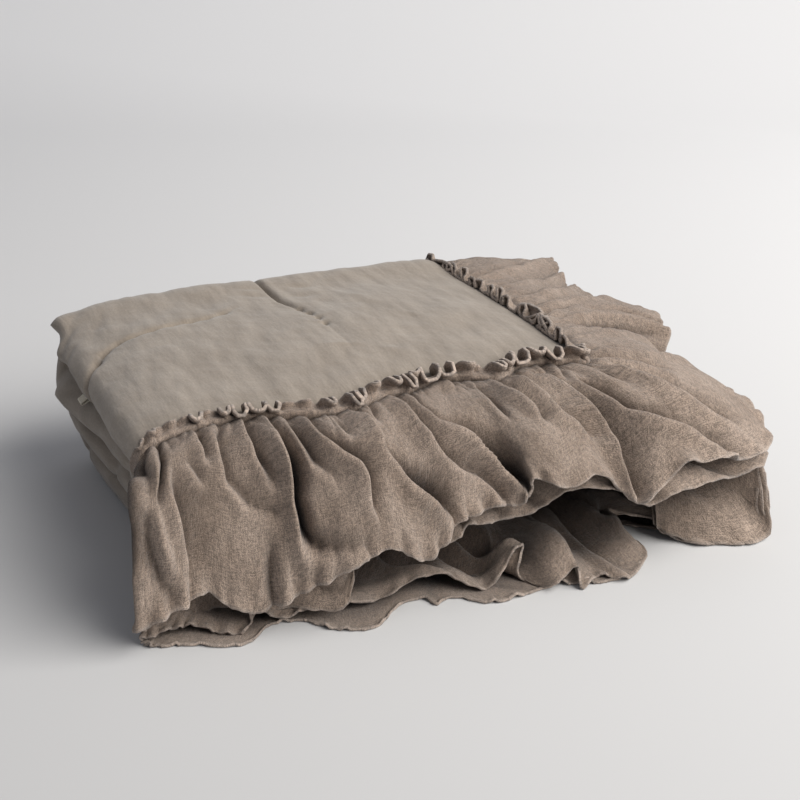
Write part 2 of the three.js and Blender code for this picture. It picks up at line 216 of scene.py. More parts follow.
def settle(x, y, z):
    """A point of the square layout, settled: lower levels sit in, the top is crowned, its edges drop."""
    height, across, back = z / STACK, x / FOLDED_WIDTH, y / FOLDED_DEPTH
    from_back, from_right = FOLDED_DEPTH - y, FOLDED_WIDTH - x
    sides = {"left": x, "back": from_back, "front": y, "right": from_right}
    drop = sum(fall * clamp(1 - sides[side] / over) ** 2 for side, (over, fall) in SAG.items())
    inward, over = DRAWN_CORNER
    corner = inward * clamp(1 - x / over) ** 2 * clamp(1 - from_back / over) ** 2
    recess = mix(RECESS["front_left"], RECESS["back_left"], back) * (1 - across) + RECESS["right"] * across
    bow = BOW * np.sin(np.pi * clamp(back)) * across * height
    set_back = mix(SET_BACK["left"], SET_BACK["right"], across) * (1 - back)
    sway = read(FRONT_SWAY, 1, x) * clamp(1 - back) ** 2 * height
    crown = CROWN * np.sin(np.pi * clamp(across)) * np.sin(np.pi * clamp(back))
    near_seam = ease((SEAM_LIFT["inside"] - np.minimum(from_right, y)) / SEAM_LIFT["over"])
    lift = SEAM_LIFT["rise"] * near_seam * clamp(1 - height) ** 2
    settled_x = x + corner + (1 - height) * recess + bow
    settled_y = y - corner + (1 - height) * set_back + sway
    return np.stack([settled_x, settled_y, z * (1 + (crown - drop) / STACK) + lift], -1)


def level_height(level):
    """The height of a level's middle; the top level is 0."""
    return (LEVELS - 1 - level) * LEVEL_PITCH + HALF_LEVEL


def level_path():
    """The levels' path seen from the right: rows of y, z, side_y, side_z, level, and the way along it."""
    rows = []
    for level in range(LEVELS):
        sign = 1 if level % 2 == 0 else -1
        near = 0 if level in (0, LEVELS - 1) else TURN_IN
        ends = (near, FOLDED_DEPTH - TURN_IN)
        step, turn_steps = (2.1, 25) if level == 0 else (8, 15)
        z = level_height(level)
        for y in np.linspace(*ends[::sign], round((ends[1] - ends[0]) / step) + 1):
            rows.append((y, z, 0, sign, level))
        if level == LEVELS - 1:
            break
        turn_y = FOLDED_DEPTH - TURN_IN if sign > 0 else TURN_IN
        for angle in np.linspace(0, math.pi, turn_steps)[1:-1]:
            out, up = math.sin(angle), math.cos(angle)
            y = turn_y + sign * TURN_RADIUS * out
            rows.append((y, z - TURN_RADIUS * (1 - up), out, sign * up, level + 0.5))
    path = np.array(rows)
    steps = np.hypot(*np.diff(path[:, :2], axis=0).T)
    return np.column_stack([path, np.concatenate([[0], np.cumsum(steps)])])


FINER = {"at": 193, "half": 16, "more": 2.2}  # the points lie closer together by the column of stitches


def hairpin(half, counts):
    """One level's face from the open edge under it, round the left fold and back above."""
    low, bend, top = counts
    angle = np.radians(np.linspace(-90, 90, bend + 1))
    x = [np.linspace(FOLDED_WIDTH, HALF_LEVEL, low + 1), HALF_LEVEL - half * np.cos(angle[1:])]
    off = [np.full(low + 1, -half), half * np.sin(angle[1:])]
    dense = np.linspace(HALF_LEVEL, FOLDED_WIDTH, 2000)
    weight = np.cumsum(1 + FINER["more"] * (np.abs(dense - FINER["at"]) < FINER["half"]))
    spaced = np.interp(np.linspace(weight[0], weight[-1], top + 1), weight, dense)
    x.append(spaced[1:])
    off.append(np.full(top, half))
    return np.concatenate(x), np.concatenate(off)


path = level_path()
path_y, path_z, side_y, side_z, path_level, path_way = (column[:, None] for column in path.T)
INNER_STEP = 4  # the outer face has this many points to each one of the inner face
outer_x, outer_off = hairpin(HALF_LEVEL, (48, 20, 152))
inner_x, inner_off = hairpin(INNER_FACE, (48 // INNER_STEP, 20 // INNER_STEP, 152 // INNER_STEP))
flat_across = np.concatenate([[0], np.cumsum(np.hypot(np.diff(outer_x), np.diff(outer_off)))])


def swept(x, off):
    """A face's grid: a row of points for each place on the path."""
    open_front = np.isin(path_level, (0, LEVELS - 1)) * clamp(1 - path_y / EDGE_ROLL)
    thin = EDGE_THIN * np.maximum(open_front, clamp((x - FOLDED_WIDTH + EDGE_ROLL) / EDGE_ROLL))
    off = off * (1 - (np.abs(off) > INNER_FACE) * thin / HALF_LEVEL)
    return settle(x + 0 * path_y, path_y + side_y * off, path_z + side_z * off)


outer, inner = swept(outer_x, outer_off), swept(inner_x, inner_off)

# The CAD quilt has the same layout, so its box says where the layout's corner lies in the part's frame.
cad_low, cad_high = (np.array(corner) * 1000 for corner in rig.box("quilt"))
LAYOUT_TO_PART = (cad_low + cad_high - outer.min((0, 1)) - outer.max((0, 1))) / 2
LAYOUT_TO_PART[2] = 0

# Where the quilting shows on the top level: a row from the left fold and a column from the back.
STITCH_ROW = [  # x, y, how deep it pulls the cloth in, how wide the valley is
    (-15, 140, 4.5, 5), (-5, 160, 5.0, 5), (15, 175, 4.5, 4), (25, 190, 4.0, 4), (40, 200, 3.6, 3),
    (85, 205, 2.5, 3), (120, 210, 2.5, 3), (135, 215, 2.2, 3), (150, 225, 0.6, 4),
]
STITCH_COLUMN = [
    (185, 305, 0.3, 4), (190, 290, 2.6, 4), (190, 280, 6.0, 4), (190, 250, 6.8, 4), (190, 225, 5.0, 4),
    (195, 200, 2.4, 4), (200, 170, 1.5, 4), (200, 140, 1.2, 4), (200, 80, 0.6, 5),
]
STITCH = {"pitch": 16, "deep": 3.0, "wide": 3.2, "around": (0.8, 9)}  # each stitch draws in a dimple
LOWER_ROWS = {"ways": (560, 760, 960, 1160), "deep": 4.5, "wide": 7}  # the rows on the other levels
# Soft creases pressed into the washed cloth of the top level.
CREASES = [  # x, y, x, y, depth, width
    (238, 236, 262, 170, -1.6, 8), (262, 170, 292, 120, -1.3, 9), (176, 106, 214, 88, -1.5, 8),
    (214, 88, 246, 56, -1.2, 9), (12, 262, 40, 296, 1.6, 6), (-2, 236, 22, 268, 1.8, 6),
    (-6, 212, 14, 236, 1.6, 6), (20, 214, 52, 282, 1.0, 8), (66, 230, 78, 290, 0.9, 9),
    (122, 224, 128, 286, 0.9, 9), (150, 232, 158, 292, 1.0, 9), (118, 60, 112, 150, 0.9, 10),
    (70, 66, 66, 140, 0.8, 9), (300, 60, 318, 132, 1.0, 10), (330, 150, 352, 240, 1.1, 10),
    (226, 252, 268, 296, 1.0, 9), (206, 262, 232, 250, 1.6, 6), (204, 236, 226, 226, 1.4, 6),
    (182, 262, 164, 268, 1.3, 6), (183, 242, 160, 256, 1.3, 6),
]


def valley(x, y, line):
    """How far a line of stitches pulls the cloth in at each point."""
    pulled = np.zeros_like(x)
    for (x0, y0, d0, w0), (x1, y1, d1, w1) in zip(line, line[1:]):
        run = np.array([x1 - x0, y1 - y0])
        t = clamp(((x - x0) * run[0] + (y - y0) * run[1]) / (run @ run))
        away = np.hypot(x - x0 - t * run[0], y - y0 - t * run[1])
        depth, width = mix(d0, d1, t), mix(w0, w1, t)
        pulled = np.maximum(pulled, depth * np.exp(-((away / (0.6 * width)) ** 1.3)))
    return pulled


# The top level's own coordinates: x across it, and y back along the cloth and over the back turn.
bend = np.arctan2(outer_off, HALF_LEVEL - outer_x)
top_x = np.where(outer_x > HALF_LEVEL, outer_x, HALF_LEVEL * (1 - math.pi / 2 + bend)) + 0 * path_way
top_y = path_way + 0 * top_x
on_top = ((outer_off >= 0) | (outer_x < HALF_LEVEL)) & (path_way < FOLDED_DEPTH + 60)

pull = np.maximum(valley(top_x, top_y, STITCH_ROW), valley(top_x, top_y, STITCH_COLUMN))
for x0, y0, x1, y1, depth, width in CREASES:
    ends = [(x0, y0, 0.2, width), ((x0 + x1) / 2, (y0 + y1) / 2, 1, width), (x1, y1, 0.2, width)]
    pull = pull + depth * valley(top_x, top_y, ends)
for line, first, last in ((STITCH_ROW, 50, 190), (STITCH_COLUMN, 110, 160)):
    spots = np.array(line)[:, :2]
    way_along = np.concatenate([[0], np.cumsum(np.hypot(*np.diff(spots, axis=0).T))])
    for way in np.arange(first, last, STITCH["pitch"]):
        x, y = (np.interp(way, way_along, spots[:, k]) for k in (0, 1))
        away = np.hypot(top_x - x, top_y - y)
        for deep, wide in ((STITCH["deep"], STITCH["wide"]), STITCH["around"]):
            pull = pull + deep * np.exp(-((away / wide) ** 2))
pull = np.where(on_top, pull, 0)
for way in LOWER_ROWS["ways"]:
    pull = pull + LOWER_ROWS["deep"] * np.exp(-((np.abs(path_way - way) / LOWER_ROWS["wide"]) ** 1.3))


def uneven(u, v, cell_u, cell_v, seed):
    """Soft unevenness from -1 to 1, one swell to each cell."""
    lattice = np.random.default_rng(seed).uniform(-1, 1, (128, 128))
    a, b = np.broadcast_arrays(np.asarray(u, float) / cell_u, np.asarray(v, float) / cell_v)
    i, j = np.floor(a).astype(int), np.floor(b).astype(int)
    s, t = ease(a - i), ease(b - j)
    low = mix(lattice[i % 128, j % 128], lattice[(i + 1) % 128, j % 128], s)
    high = mix(lattice[i % 128, (j + 1) % 128], lattice[(i + 1) % 128, (j + 1) % 128], s)
    return mix(low, high, t)


def unit(vectors):
    return vectors / np.maximum(np.linalg.norm(vectors, axis=-1, keepdims=True), 1e-9)


def normals_of(grid):
    """The unit normal at each point of a grid of points."""
    return unit(np.cross(np.gradient(grid, axis=0), np.gradient(grid, axis=1)))


# The wadding swells and the linen wrinkles: how high, and how large across and along the cloth.
SWELLS = [(1.6, 60, 70), (0.9, 24, 34), (0.35, 7, 19)]
SLANTED_WRINKLES = (0.2, 6, 9)
BACK_PUFF = {"rise": 7, "at": 286, "over": 30}  # the top level's back edge stands up a little

height, wide, long = SLANTED_WRINKLES
rise = height * uneven(flat_across + path_way, path_way, wide, long, 4)
for seed, (height, wide, long) in enumerate(SWELLS, 1):
    rise = rise + height * uneven(flat_across, path_way, wide, long, seed)
puff = BACK_PUFF["rise"] * np.exp(-(((path_way - BACK_PUFF["at"]) / BACK_PUFF["over"]) ** 2)) * on_top
quiet = clamp((FOLDED_WIDTH - outer_x) / 30)  # by the seam
outer = outer - normals_of(outer) * (rise * quiet - pull + puff * clamp(quiet + 0.3))[..., None]

# The left side: the lower levels' folds bulge out towards the back, and under the top level, by the label,
# is a hollow. The back left corner's underside is tucked in, and its top drawn out to a soft point.
LEFT_BULGE = {"out": 15, "from": 150, "over": 90, "at": 84, "half": 34, "inside": 90}
LEFT_HOLLOW = {"at": (3, 226, 104), "size": (34, 62, 24), "move": (20, 0, 7)}
EAR_TUCK = {"at": (-8, 292, 116), "size": 44, "move": (27, -10, 8)}
EAR_TIP = {"at": (4, 292, 137), "size": 30}


def drawn(points, at, size, move, soft=1.2):
    """The points near a place, moved together, less and less with the distance from it."""
    away = np.linalg.norm((points - np.array(at)) / np.array(size), axis=-1)
    return points + (clamp(1 - away) ** soft)[..., None] * np.array(move)


below_top = np.exp(-(((outer[..., 2] - LEFT_BULGE["at"]) / LEFT_BULGE["half"]) ** 2))
towards_back = ease((outer[..., 1] - LEFT_BULGE["from"]) / LEFT_BULGE["over"])
near_left = clamp(1 - outer[..., 0] / LEFT_BULGE["inside"])
outer[..., 0] -= LEFT_BULGE["out"] * below_top * towards_back * near_left
outer = drawn(outer, **EAR_TUCK)
outer = drawn(outer, **LEFT_HOLLOW)
tip_away = np.linalg.norm(outer - EAR_TIP["at"], axis=-1)
nearest = outer[np.unravel_index(np.argmin(tip_away), tip_away.shape)]
outer = drawn(outer, nearest, EAR_TIP["size"], EAR_TIP["at"] - nearest, 1.5)
outer[..., 2] = np.maximum(outer[..., 2], 0)


def cloth_object(name, points, ends, cloth):
    """A smooth closed mesh from rings of points in mm of the square layout, one to each place along the
    cloth. ends is the faces that close a ring, and cloth each point's place on the flat cloth."""
    rings, size = points.shape[:2]
    faces = []
    for start in range(0, (rings - 1) * size, size):
        for i in range(size):
            j = (i + 1) % size
            faces.append((start + i, start + j, start + size + j, start + size + i))
    for start, way in ((0, 1), ((rings - 1) * size, -1)):
        faces += [tuple(start + i for i in face)[::way] for face in ends]
    mesh = bpy.data.meshes.new(name)
    mesh.from_pydata(((points.reshape(-1, 3) + LAYOUT_TO_PART) * 0.001).tolist(), [], faces)
    corners = np.empty(len(mesh.loops), int)
    mesh.loops.foreach_get("vertex_index", corners)
    layer = mesh.uv_layers.new(name="cloth")
    layer.data.foreach_set("uv", (cloth.reshape(-1, 2)[corners] * 0.001).ravel())
    mesh.shade_smooth()
    made = bpy.data.objects.new(name, mesh)
    bpy.context.scene.collection.objects.link(made)
    return made


# Each ring runs along the outer face and back along the inner one.
outer_count, inner_count = len(outer_x), len(inner_x)
ends = []
for i in range(inner_count - 1):
    a = outer_count + inner_count - 1 - i
    ends.append((a, a - 1, *range(INNER_STEP * (i + 1), INNER_STEP * i - 1, -1)))
inner_across = flat_across[::-INNER_STEP]
cloth = np.stack(np.broadcast_arrays(np.concatenate([flat_across, inner_across]), path_way), -1)
quilt = cloth_object("washed_quilt", np.concatenate([outer, inner[:, ::-1]], axis=1), ends, cloth)


def linear(colour):
    """An sRGB hex colour as linear values."""
    parts = [int(colour[i : i + 2], 16) / 255 for i in (0, 2, 4)]
    return [c / 12.92 if c <= 0.04045 else ((c + 0.055) / 1.055) ** 2.4 for c in parts] + [1]


def new_material(name):
    """A material, and a function that adds a node to it with its settings, colour stops and links."""
    material = bpy.data.materials.new(name)
    material.use_nodes = True
    tree = material.node_tree
    tree.nodes.clear()

    def add(kind, settings=None, stops=(), **inputs):
        node = tree.nodes.new("ShaderNode" + kind)
        for key, value in (settings or {}).items():
            setattr(node, key, value)
        while len(stops) > len(node.color_ramp.elements if stops else ()):
            node.color_ramp.elements.new(0.5)
        for i, (place, colour) in enumerate(stops):
            node.color_ramp.elements[i].position = place
            node.color_ramp.elements[i].color = linear(colour)
        for key, value in inputs.items():
            socket = node.inputs[int(key[1:]) if key[1:].isdigit() else key.replace("_", " ")]
            if isinstance(value, bpy.types.Node):
                value = value.outputs[0]
            if isinstance(value, bpy.types.NodeSocket):
                tree.links.new(value, socket)
            else:
                socket.default_value = value
        return node

    return material, add


# Washed linen, plain woven from uneven yarn: matt, a warm grey beige, with small nubs where the yarn is
# thick, soft streaks where washing has rubbed and crinkled it, and a weave that shows only close by. Each
# pattern's size is in mm of the flat cloth: the weave has fourteen threads to the centimetre.
linen, add = new_material("washed_linen")
flat = add("UVMap", {"uv_map": "cloth"})
noise = {}
for pattern, mm, stretch, detail in (
    ("streaks", 10 / 0.9, (1, 0.25, 1), 3),
    ("clouds", 10 / 0.14, (1, 1, 1), 2),
    ("warp", 10 / 14, (1, 0.08, 1), 1),
    ("weft", 10 / 14, (0.08, 1, 1), 1),
    ("nubs", 10 / 6.2, (1, 0.6, 1), 3),
):
    placed = add("Mapping", Vector=flat, Scale=stretch)
    noise[pattern] = add("TexNoise", Vector=placed, Scale=1000 / mm, Detail=detail)
tone = add("ValToRGB", stops=[(0.3, "8b7f71"), (0.7, "a39789")], Fac=noise["streaks"])
for pattern, strength, stops in (
    ("clouds", 0.25, [(0.3, "6a6a6a"), (0.7, "8c8c8c")]),
    ("nubs", 0.3, [(0.3, "5c5c5c"), (0.7, "a4a4a4")]),
):
    grey = add("ValToRGB", stops=stops, Fac=noise[pattern])
    tone = add("MixRGB", {"blend_type": "OVERLAY"}, Fac=strength, Color1=tone, Color2=grey)
weave = add("Math", {"operation": "ADD"}, i0=noise["warp"], i1=noise["weft"])
woven = add("Bump", Strength=0.5, Distance=0.0003, Height=weave)
crinkled = add("Bump", Strength=0.8, Distance=0.0018, Height=noise["streaks"], Normal=woven)
surface = add(
    "BsdfPrincipled",
    Base_Color=tone,
    Roughness=0.95,
    Specular_IOR_Level=0.15,
    Sheen_Weight=0.25,
    Sheen_Roughness=0.6,
    Normal=crinkled,
)
add("OutputMaterial", Surface=surface)
quilt.data.materials.append(linen)

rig.ride(quilt, "root")
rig.replaces(quilt, "quilt")
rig.slot(quilt, "washed_linen")
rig.padded(quilt, fill=0.6)

# ---- The ruffle, upper and lower half ----
# One long strip of coarse linen gauze, gathered tightly along the quilt's open edges a little below its
# own top edge, so that it stands there in a ruched frill. Its hem is narrow, frayed and wavy.
RUFFLE_DEPTH = 145
HEADING = 12  # what stands above the seam
HEADING_RISE = 7
GAUZE = 0.8  # its thickness
GAUZE_MIDDLE = 0.75  # its lowest middle over the floor
SEAM_OFFSET = 17.15  # the seam, from a level's middle
NEAR_SEAM = 1.1 * SEAM_OFFSET
CORNER_RADIUS = 14  # of the seam, round the front right corner
CORNER_ARC = CORNER_RADIUS * math.pi / 2
SIDE_START = FOLDED_WIDTH - 2 * CORNER_RADIUS + CORNER_ARC

# The ruffle's fall along the front edge and then the right one. Places along the seam are in mm from the
# left end of the front edge, and called at; depths from the quilt's edge down to the hem are called w.
FALL = [  # at, bearing, knee, reach, hem, floor_bearing, floor_reach
    (0, -112, 36, 50, 21, -122, 98), (60, -97, 40, 52, 29, -98, 106), (140, -90, 48, 64, 44, -90, 114),
    (220, -88, 52, 74, 66, -88, 120), (290, -85, 57, 84, 93, -88, 124), (330, -76, 62, 98, 109, -88, 120),
    (350, -64, 66, 120, 111, -86, 104), (362, -55, 69, 136, 109, -76, 66),
    (374, -46, 71, 144, 106, -62, 112), (390, -36, 71, 145, 102, -46, 150),
    (416, -22, 69, 136, 97, -26, 168), (460, -9, 65, 124, 97, -10, 156), (560, 0, 60, 120, 106, 0, 142),
    (692, 14, 54, 120, 119, 14, 134),
]
BEARING, KNEE, REACH, HEM, FLOOR_BEARING, FLOOR_REACH = range(1, 7)
# How high each layer's hem lies, as a share of the top hem's height, from the bottom seam to the top one.
HEM_SHARES = [  # seam, front left, front right, side
    (-1, 0, 0, 0), (1, 0.30, 0.26, 0.15), (-1, 0.42, 0.38, 0.29), (1, 0.48, 0.50, 0.43),
    (-1, 0.52, 0.62, 0.57), (1, 0.58, 0.74, 0.71), (-1, 0.64, 0.90, 0.85), (1, 1, 1, 1),
]


def top_layer(z):
    """1 on the ruffle's topmost layer and 0 on the others."""
    return clamp((z - level_height(0)) / SEAM_OFFSET) ** 4


def gauze_point(stop, w):
    """A point of the gauze's middle, w from the quilt's edge, negative on the quilt."""
    x, y, z, out_x, out_y, at = stop
    inset = np.maximum(0, -w)
    seam = settle(x - out_x * inset, y - out_y * inset, z)
    seam[..., 2] += top_layer(z) * HEADING_RISE * (inset / HEADING) ** 2

    v = np.maximum(w, 0) / RUFFLE_DEPTH
    right, side = ease((at - 200) / 90), ease((at - 330) / 90)
    shares = []
    for i, (sign, *row) in enumerate(HEM_SHARES):
        shares.append(((level_height(LEVELS - 1 - i // 2) + sign * SEAM_OFFSET) / STACK, *row))
    on_front = mix(read(shares, 1, z / STACK), read(shares, 2, z / STACK), right)
    share = mix(clamp(z / STACK), mix(on_front, read(shares, 3, z / STACK), side), ease(v))
    top_out = 2 * v * (1 - v) * read(FALL, KNEE, at) + v * v * read(FALL, REACH, at)
    bearing = np.radians(mix(read(FALL, FLOOR_BEARING, at), read(FALL, BEARING, at), share))
    tuck = mix(9, 3, side) * v * 4 * share * (1 - share)
    out = mix(v * read(FALL, FLOOR_REACH, at), top_out, share) - tuck
    kept = 1 - v * v * (1 - read(FALL, HEM, at) / STACK)
    base = mix(seam[..., 2], share * STACK, ease(v))
    low, high = settle(x, y, 0 * z), settle(x, y, 0 * z + STACK)
    edge = low + (high - low) * share[..., None]
    height = GAUZE_MIDDLE + (base - GAUZE_MIDDLE * (1 - share)) * kept
    fallen_x, fallen_y = edge[..., 0] + out * np.cos(bearing), edge[..., 1] + out * np.sin(bearing)
    return np.where((w <= 0)[..., None], seam, np.stack([fallen_x, fallen_y, height], -1))


# Where each hem lies on the square layout, along the front edge and round to the back.
TOP_HEM = [  # at, x, y, z
    (0, -20, -45, 20), (30, 15, -45, 30), (45, 30, -40, 35), (70, 60, -50, 20), (100, 100, -60, 35),
    (130, 135, -75, 55), (155, 165, -75, 65), (175, 185, -80, 50), (205, 215, -75, 70),
    (225, 240, -70, 75), (250, 270, -75, 75), (275, 280, -80, 95), (290, 300, -90, 90),
    (305, 325, -85, 95), (320, 345, -90, 80), (335, 360, -100, 70), (352, 395, -100, 95),
    (370, 435, -90, 90), (390, 495, -75, 80), (410, 515, -30, 90), (435, 510, 20, 95), (460, 505, 70, 90),
    (475, 500, 85, 90), (490, 515, 100, 105), (515, 525, 125, 120), (545, 515, 170, 120),
    (575, 500, 210, 120), (600, 495, 240, 120), (640, 505, 285, 130), (670, 510, 315, 125),
]
SECOND_HEM = [  # the layer under it
    (0, -15, -30, 10), (40, 20, -20, 10), (75, 55, -20, 10), (110, 105, -45, 15), (130, 135, -60, 20),
    (145, 150, -40, 55), (175, 190, -40, 55), (200, 220, -65, 55), (215, 230, -65, 65),
    (240, 260, -65, 60), (260, 285, -70, 65), (285, 310, -80, 80), (312, 345, -85, 75),
    (332, 370, -90, 60), (350, 395, -95, 70), (375, 455, -85, 65), (392, 500, -70, 65),
    (404, 515, -45, 70),
]
THIRD_HEM = [  # pleated just over the floor
    (0, -10, -30, 5), (40, 25, -30, 10), (80, 60, -45, 5), (95, 70, -40, 15), (112, 90, -45, 5),
    (130, 115, -50, 15), (148, 140, -55, 15), (160, 160, -50, 5), (180, 190, -45, 10),
    (204, 220, -50, 15), (222, 245, -65, 5), (246, 280, -55, 30), (262, 280, -60, 5), (275, 295, -80, 2),
    (290, 315, -80, 10), (297, 315, -90, 2), (310, 335, -85, 10), (326, 355, -95, 5), (342, 390, -70, 5),
    (362, 385, -20, 15), (376, 415, -35, 15), (390, 455, -65, 3), (400, 485, -80, 2), (410, 500, -65, 2),
]
FLOOR_HEM = [  # on the floor
    (0, -15, -35, 1), (30, 10, -40, 1), (72, 65, -55, 1), (80, 75, -45, 1), (105, 105, -45, 1),
    (126, 120, -65, 1), (162, 160, -70, 1), (170, 170, -60, 1), (190, 200, -55, 1), (200, 205, -65, 1),
    (208, 215, -60, 1), (230, 240, -80, 1), (270, 300, -80, 1), (312, 350, -90, 1), (340, 390, -60, 1),
    (362, 395, -5, 1), (384, 445, -60, 1), (398, 480, -75, 1), (412, 510, -60, 1),
]
LEAF_HEM = [  # the layers between, which fall to the floor at the corner
    (368, 410, -35, 20), (377, 430, -60, 5), (390, 475, -85, 1), (400, 500, -85, 5), (410, 500, -80, 30),
    (424, 500, -70, 60),
]


def along_hem(table, place):
    """The hem's place, run smoothly through a table's rows."""
    rows = np.array(table, float)
    keys, spots = rows[:, 0], rows[:, 1:]
    slopes = np.gradient(spots, keys, axis=0)
    i = np.clip(np.searchsorted(keys, place, side="right") - 1, 0, len(keys) - 2)
    gap = keys[i + 1] - keys[i]
    t = clamp((place - keys[i]) / gap)[..., None]
    gap = gap[..., None]
    start = spots[i] * (1 + 2 * t) * (1 - t) ** 2 + slopes[i] * gap * t * (1 - t) ** 2
    return start + spots[i + 1] * t * t * (3 - 2 * t) - slopes[i + 1] * gap * t * t * (1 - t)


def led_to_hems(base, columns, w):
    """The fall with each layer's hem brought to where its table says."""
    hem = gauze_point([column[:, -1:] for column in columns], RUFFLE_DEPTH + 0 * w[:, -1:])
    at, z = columns[5][:, -1], columns[2][:, -1]
    top, bottom = level_height(0), level_height(LEVELS - 1)
    layers = (
        (TOP_HEM, clamp((z - top) / SEAM_OFFSET)),
        (SECOND_HEM, clamp((top - z) / SEAM_OFFSET) * (z > top - NEAR_SEAM)),
        (THIRD_HEM, clamp((z - bottom) / SEAM_OFFSET) * (z < bottom + NEAR_SEAM)),
        (FLOOR_HEM, clamp((bottom - z) / SEAM_OFFSET)),
        (LEAF_HEM, 1.0 * (z > bottom + NEAR_SEAM) * (z < top - NEAR_SEAM)),
    )
    moves = np.zeros((len(at), 3))
    for table, weight in layers:
        last = table[-1][0]
        weight = weight**4 * (1 - ease((at - last) / 26))
        spot = along_hem(table, at)
        if table is LEAF_HEM:
            # The leaves lie a little behind each other.
            inside = 14 * clamp((top - SEAM_OFFSET - z) / (2 * LEVEL_PITCH))
            spot = spot + np.stack([-0.8 * inside, 0.5 * inside, 0 * inside], -1)
        moves += weight[:, None] * (spot - hem[:, 0])
    return base + moves[:, None] * (clamp(w / RUFFLE_DEPTH) ** 1.6)[..., None]


# The creases down the front and round the corner. Each is a slit under the ridge on its left, and opens to
# the right over its width, or to the left where the width is negative.
GAUZE_CREASES = [  # rows of at, w, depth, width
    [(8, 0, 5, 6), (8, 25, 6, 6), (13, 50, 6, 6), (15, 75, 5, 6)],
    [(17, 0, 8, 5), (19, 12, 4, 5), (23, 35, 6, 5), (22, 60, 7, 5), (20, 80, 3, 5)],
    [(14, 82, 3, -8), (14, 100, 5, -10), (17, 114, 6, -10), (21, 126, 5, -10), (31, 140, 3, -8)],
    [(46, 0, 4, 6), (49, 20, 6, 6), (53, 42, 6, 6), (55, 52, 2, 5)],
    [(41, 46, 1, 8), (44, 56, 3, 8), (49, 70, 4, 8), (54, 78, 1, 8)],
    [(66, 0, 4, 7), (62, 12, 4, 7), (65, 50, 4, 9), (67, 72, 4, 10), (78, 88, 4, 12), (95, 100, 3, 10)],
    [(83, 0, 6, 8), (83, 25, 8, 8), (86, 50, 8, 8), (91, 66, 5, 9), (96, 85, 2, 8)],
    [(30, 60, 2, 22), (34, 90, 5, 26), (40, 120, 4, 24)],
    [(99, 0, 6, 6), (100, 20, 8, 7), (102, 38, 12, 9), (104, 62, 15, 11), (104, 82, 14, 11),
     (103, 94, 12, 9), (104, 106, 13, 9), (104, 116, 12, 10), (109, 125, 8, 12), (124, 131, 5, 10),
     (140, 137, 3, 8)],
    [(90, 116, 2, -6), (88, 124, 5, -5), (87, 134, 5, -5), (88, 146, 3, -5)],
    [(112, 0, 4, 7), (113, 20, 5, 8), (117, 45, 5, 9), (119, 65, 5, 10), (129, 80, 2, 8)],
    [(127, 0, 5, 7), (127, 20, 6, 8), (129, 38, 8, 10), (137, 55, 9, 12), (147, 72, 9, 12),
     (150, 90, 8, 10), (149, 105, 6, 9), (150, 120, 2, 8)],
    [(160, 0, 6, 8), (163, 25, 12, 8), (163, 50, 13, 9), (165, 67, 11, 10), (174, 85, 11, 14),
     (184, 100, 13, 16), (193, 112, 13, 16), (200, 124, 10, 14), (206, 134, 5, 10)],
    [(144, 5, 2, 6), (146, 20, 3, 7), (148, 40, 2, 6)],
    [(176, 0, 5, 6), (176, 15, 3, 6), (178, 28, 1, 6)],
    [(198, 0, 5, 8), (200, 20, 9, 9), (202, 50, 11, 10), (205, 72, 11, 10), (209, 88, 9, 11),
     (219, 105, 6, 12), (232, 120, 5, 12), (241, 138, 4, 10)],
    [(214, 0, 5, 4), (214, 20, 6, 4), (217, 38, 5, 5), (219, 56, 6, 8), (222, 66, 12, 14),
     (226, 75, 15, 18), (232, 92, 17, 22), (241, 108, 17, 22), (250, 122, 14, 20), (258, 136, 8, 12)],
    [(246, 0, 9, 12), (249, 8, 8, 10), (256, 17, 3, 8)],
    [(268, 12, 2, 5), (268, 40, 3, 6), (270, 70, 2, 6)],
    [(283, 0, 7, 8), (284, 25, 9, 9), (288, 42, 10, 10), (292, 58, 8, 8), (295, 74, 3, 6)],
    [(299, 0, 6, 7), (301, 25, 11, 8), (304, 50, 11, 8), (306, 75, 9, 9), (311, 88, 6, 9),
     (317, 100, 3, 8)],
    [(318, 12, 4, 6), (322, 24, 9, 14), (325, 50, 12, 20), (326, 78, 14, 22), (328, 104, 14, 20),
     (332, 134, 8, 12)],
    [(343, 0, 5, 4), (340, 12, 5, 4), (338, 26, 3, 4)],
    [(332, 0, 4, 4), (330, 10, 2, 4)],
    [(344, 30, 4, 6), (347, 48, 7, 9), (348, 76, 11, 14), (355, 98, 14, 16), (366, 118, 12, 13),
     (377, 142, 6, 8)],
    [(372, 8, 4, 8), (374, 24, 8, 12), (376, 60, 11, 16), (380, 84, 9, 13), (386, 112, 5, 10)],
    [(360, 2, 5, 5), (361, 22, 4, 6), (364, 44, 2, 6)],
    [(386, 2, 6, 7), (392, 30, 6, 8), (400, 60, 4, 9)],
    [(402, 0, 5, 8), (424, 72, 5, 14), (456, 145, 3, 18)],
    [(434, 2, 5, 8), (450, 36, 6, 12), (462, 76, 8, 20), (470, 112, 10, 24), (474, 145, 8, 20)],
    [(476, 30, 3, -8), (488, 62, 6, -12), (493, 92, 6, -13), (496, 122, 4, -12), (498, 140, 1, -8)],
    [(484, 0, 6, 9), (500, 24, 5, 10), (514, 52, 2, 10)],
    [(508, 60, 2, 7), (510, 90, 4, 9), (508, 120, 5, 9), (506, 145, 4, 9)],
    [(512, 0, 4, 8), (536, 72, 5, 14), (560, 145, 4, 18)],
    [(536, 0, 5, 9), (560, 72, 6, 18), (604, 145, 3, 24)],
    [(572, 0, 4, 8), (592, 72, 4, 14), (630, 145, 2, 20)],
    [(606, 0, 5, 9), (624, 72, 5, 16), (660, 145, 3, 20)],
]
DEEPER = (1.8, 2.4)  # how many times as deep as the table says they are, at the seam and further down
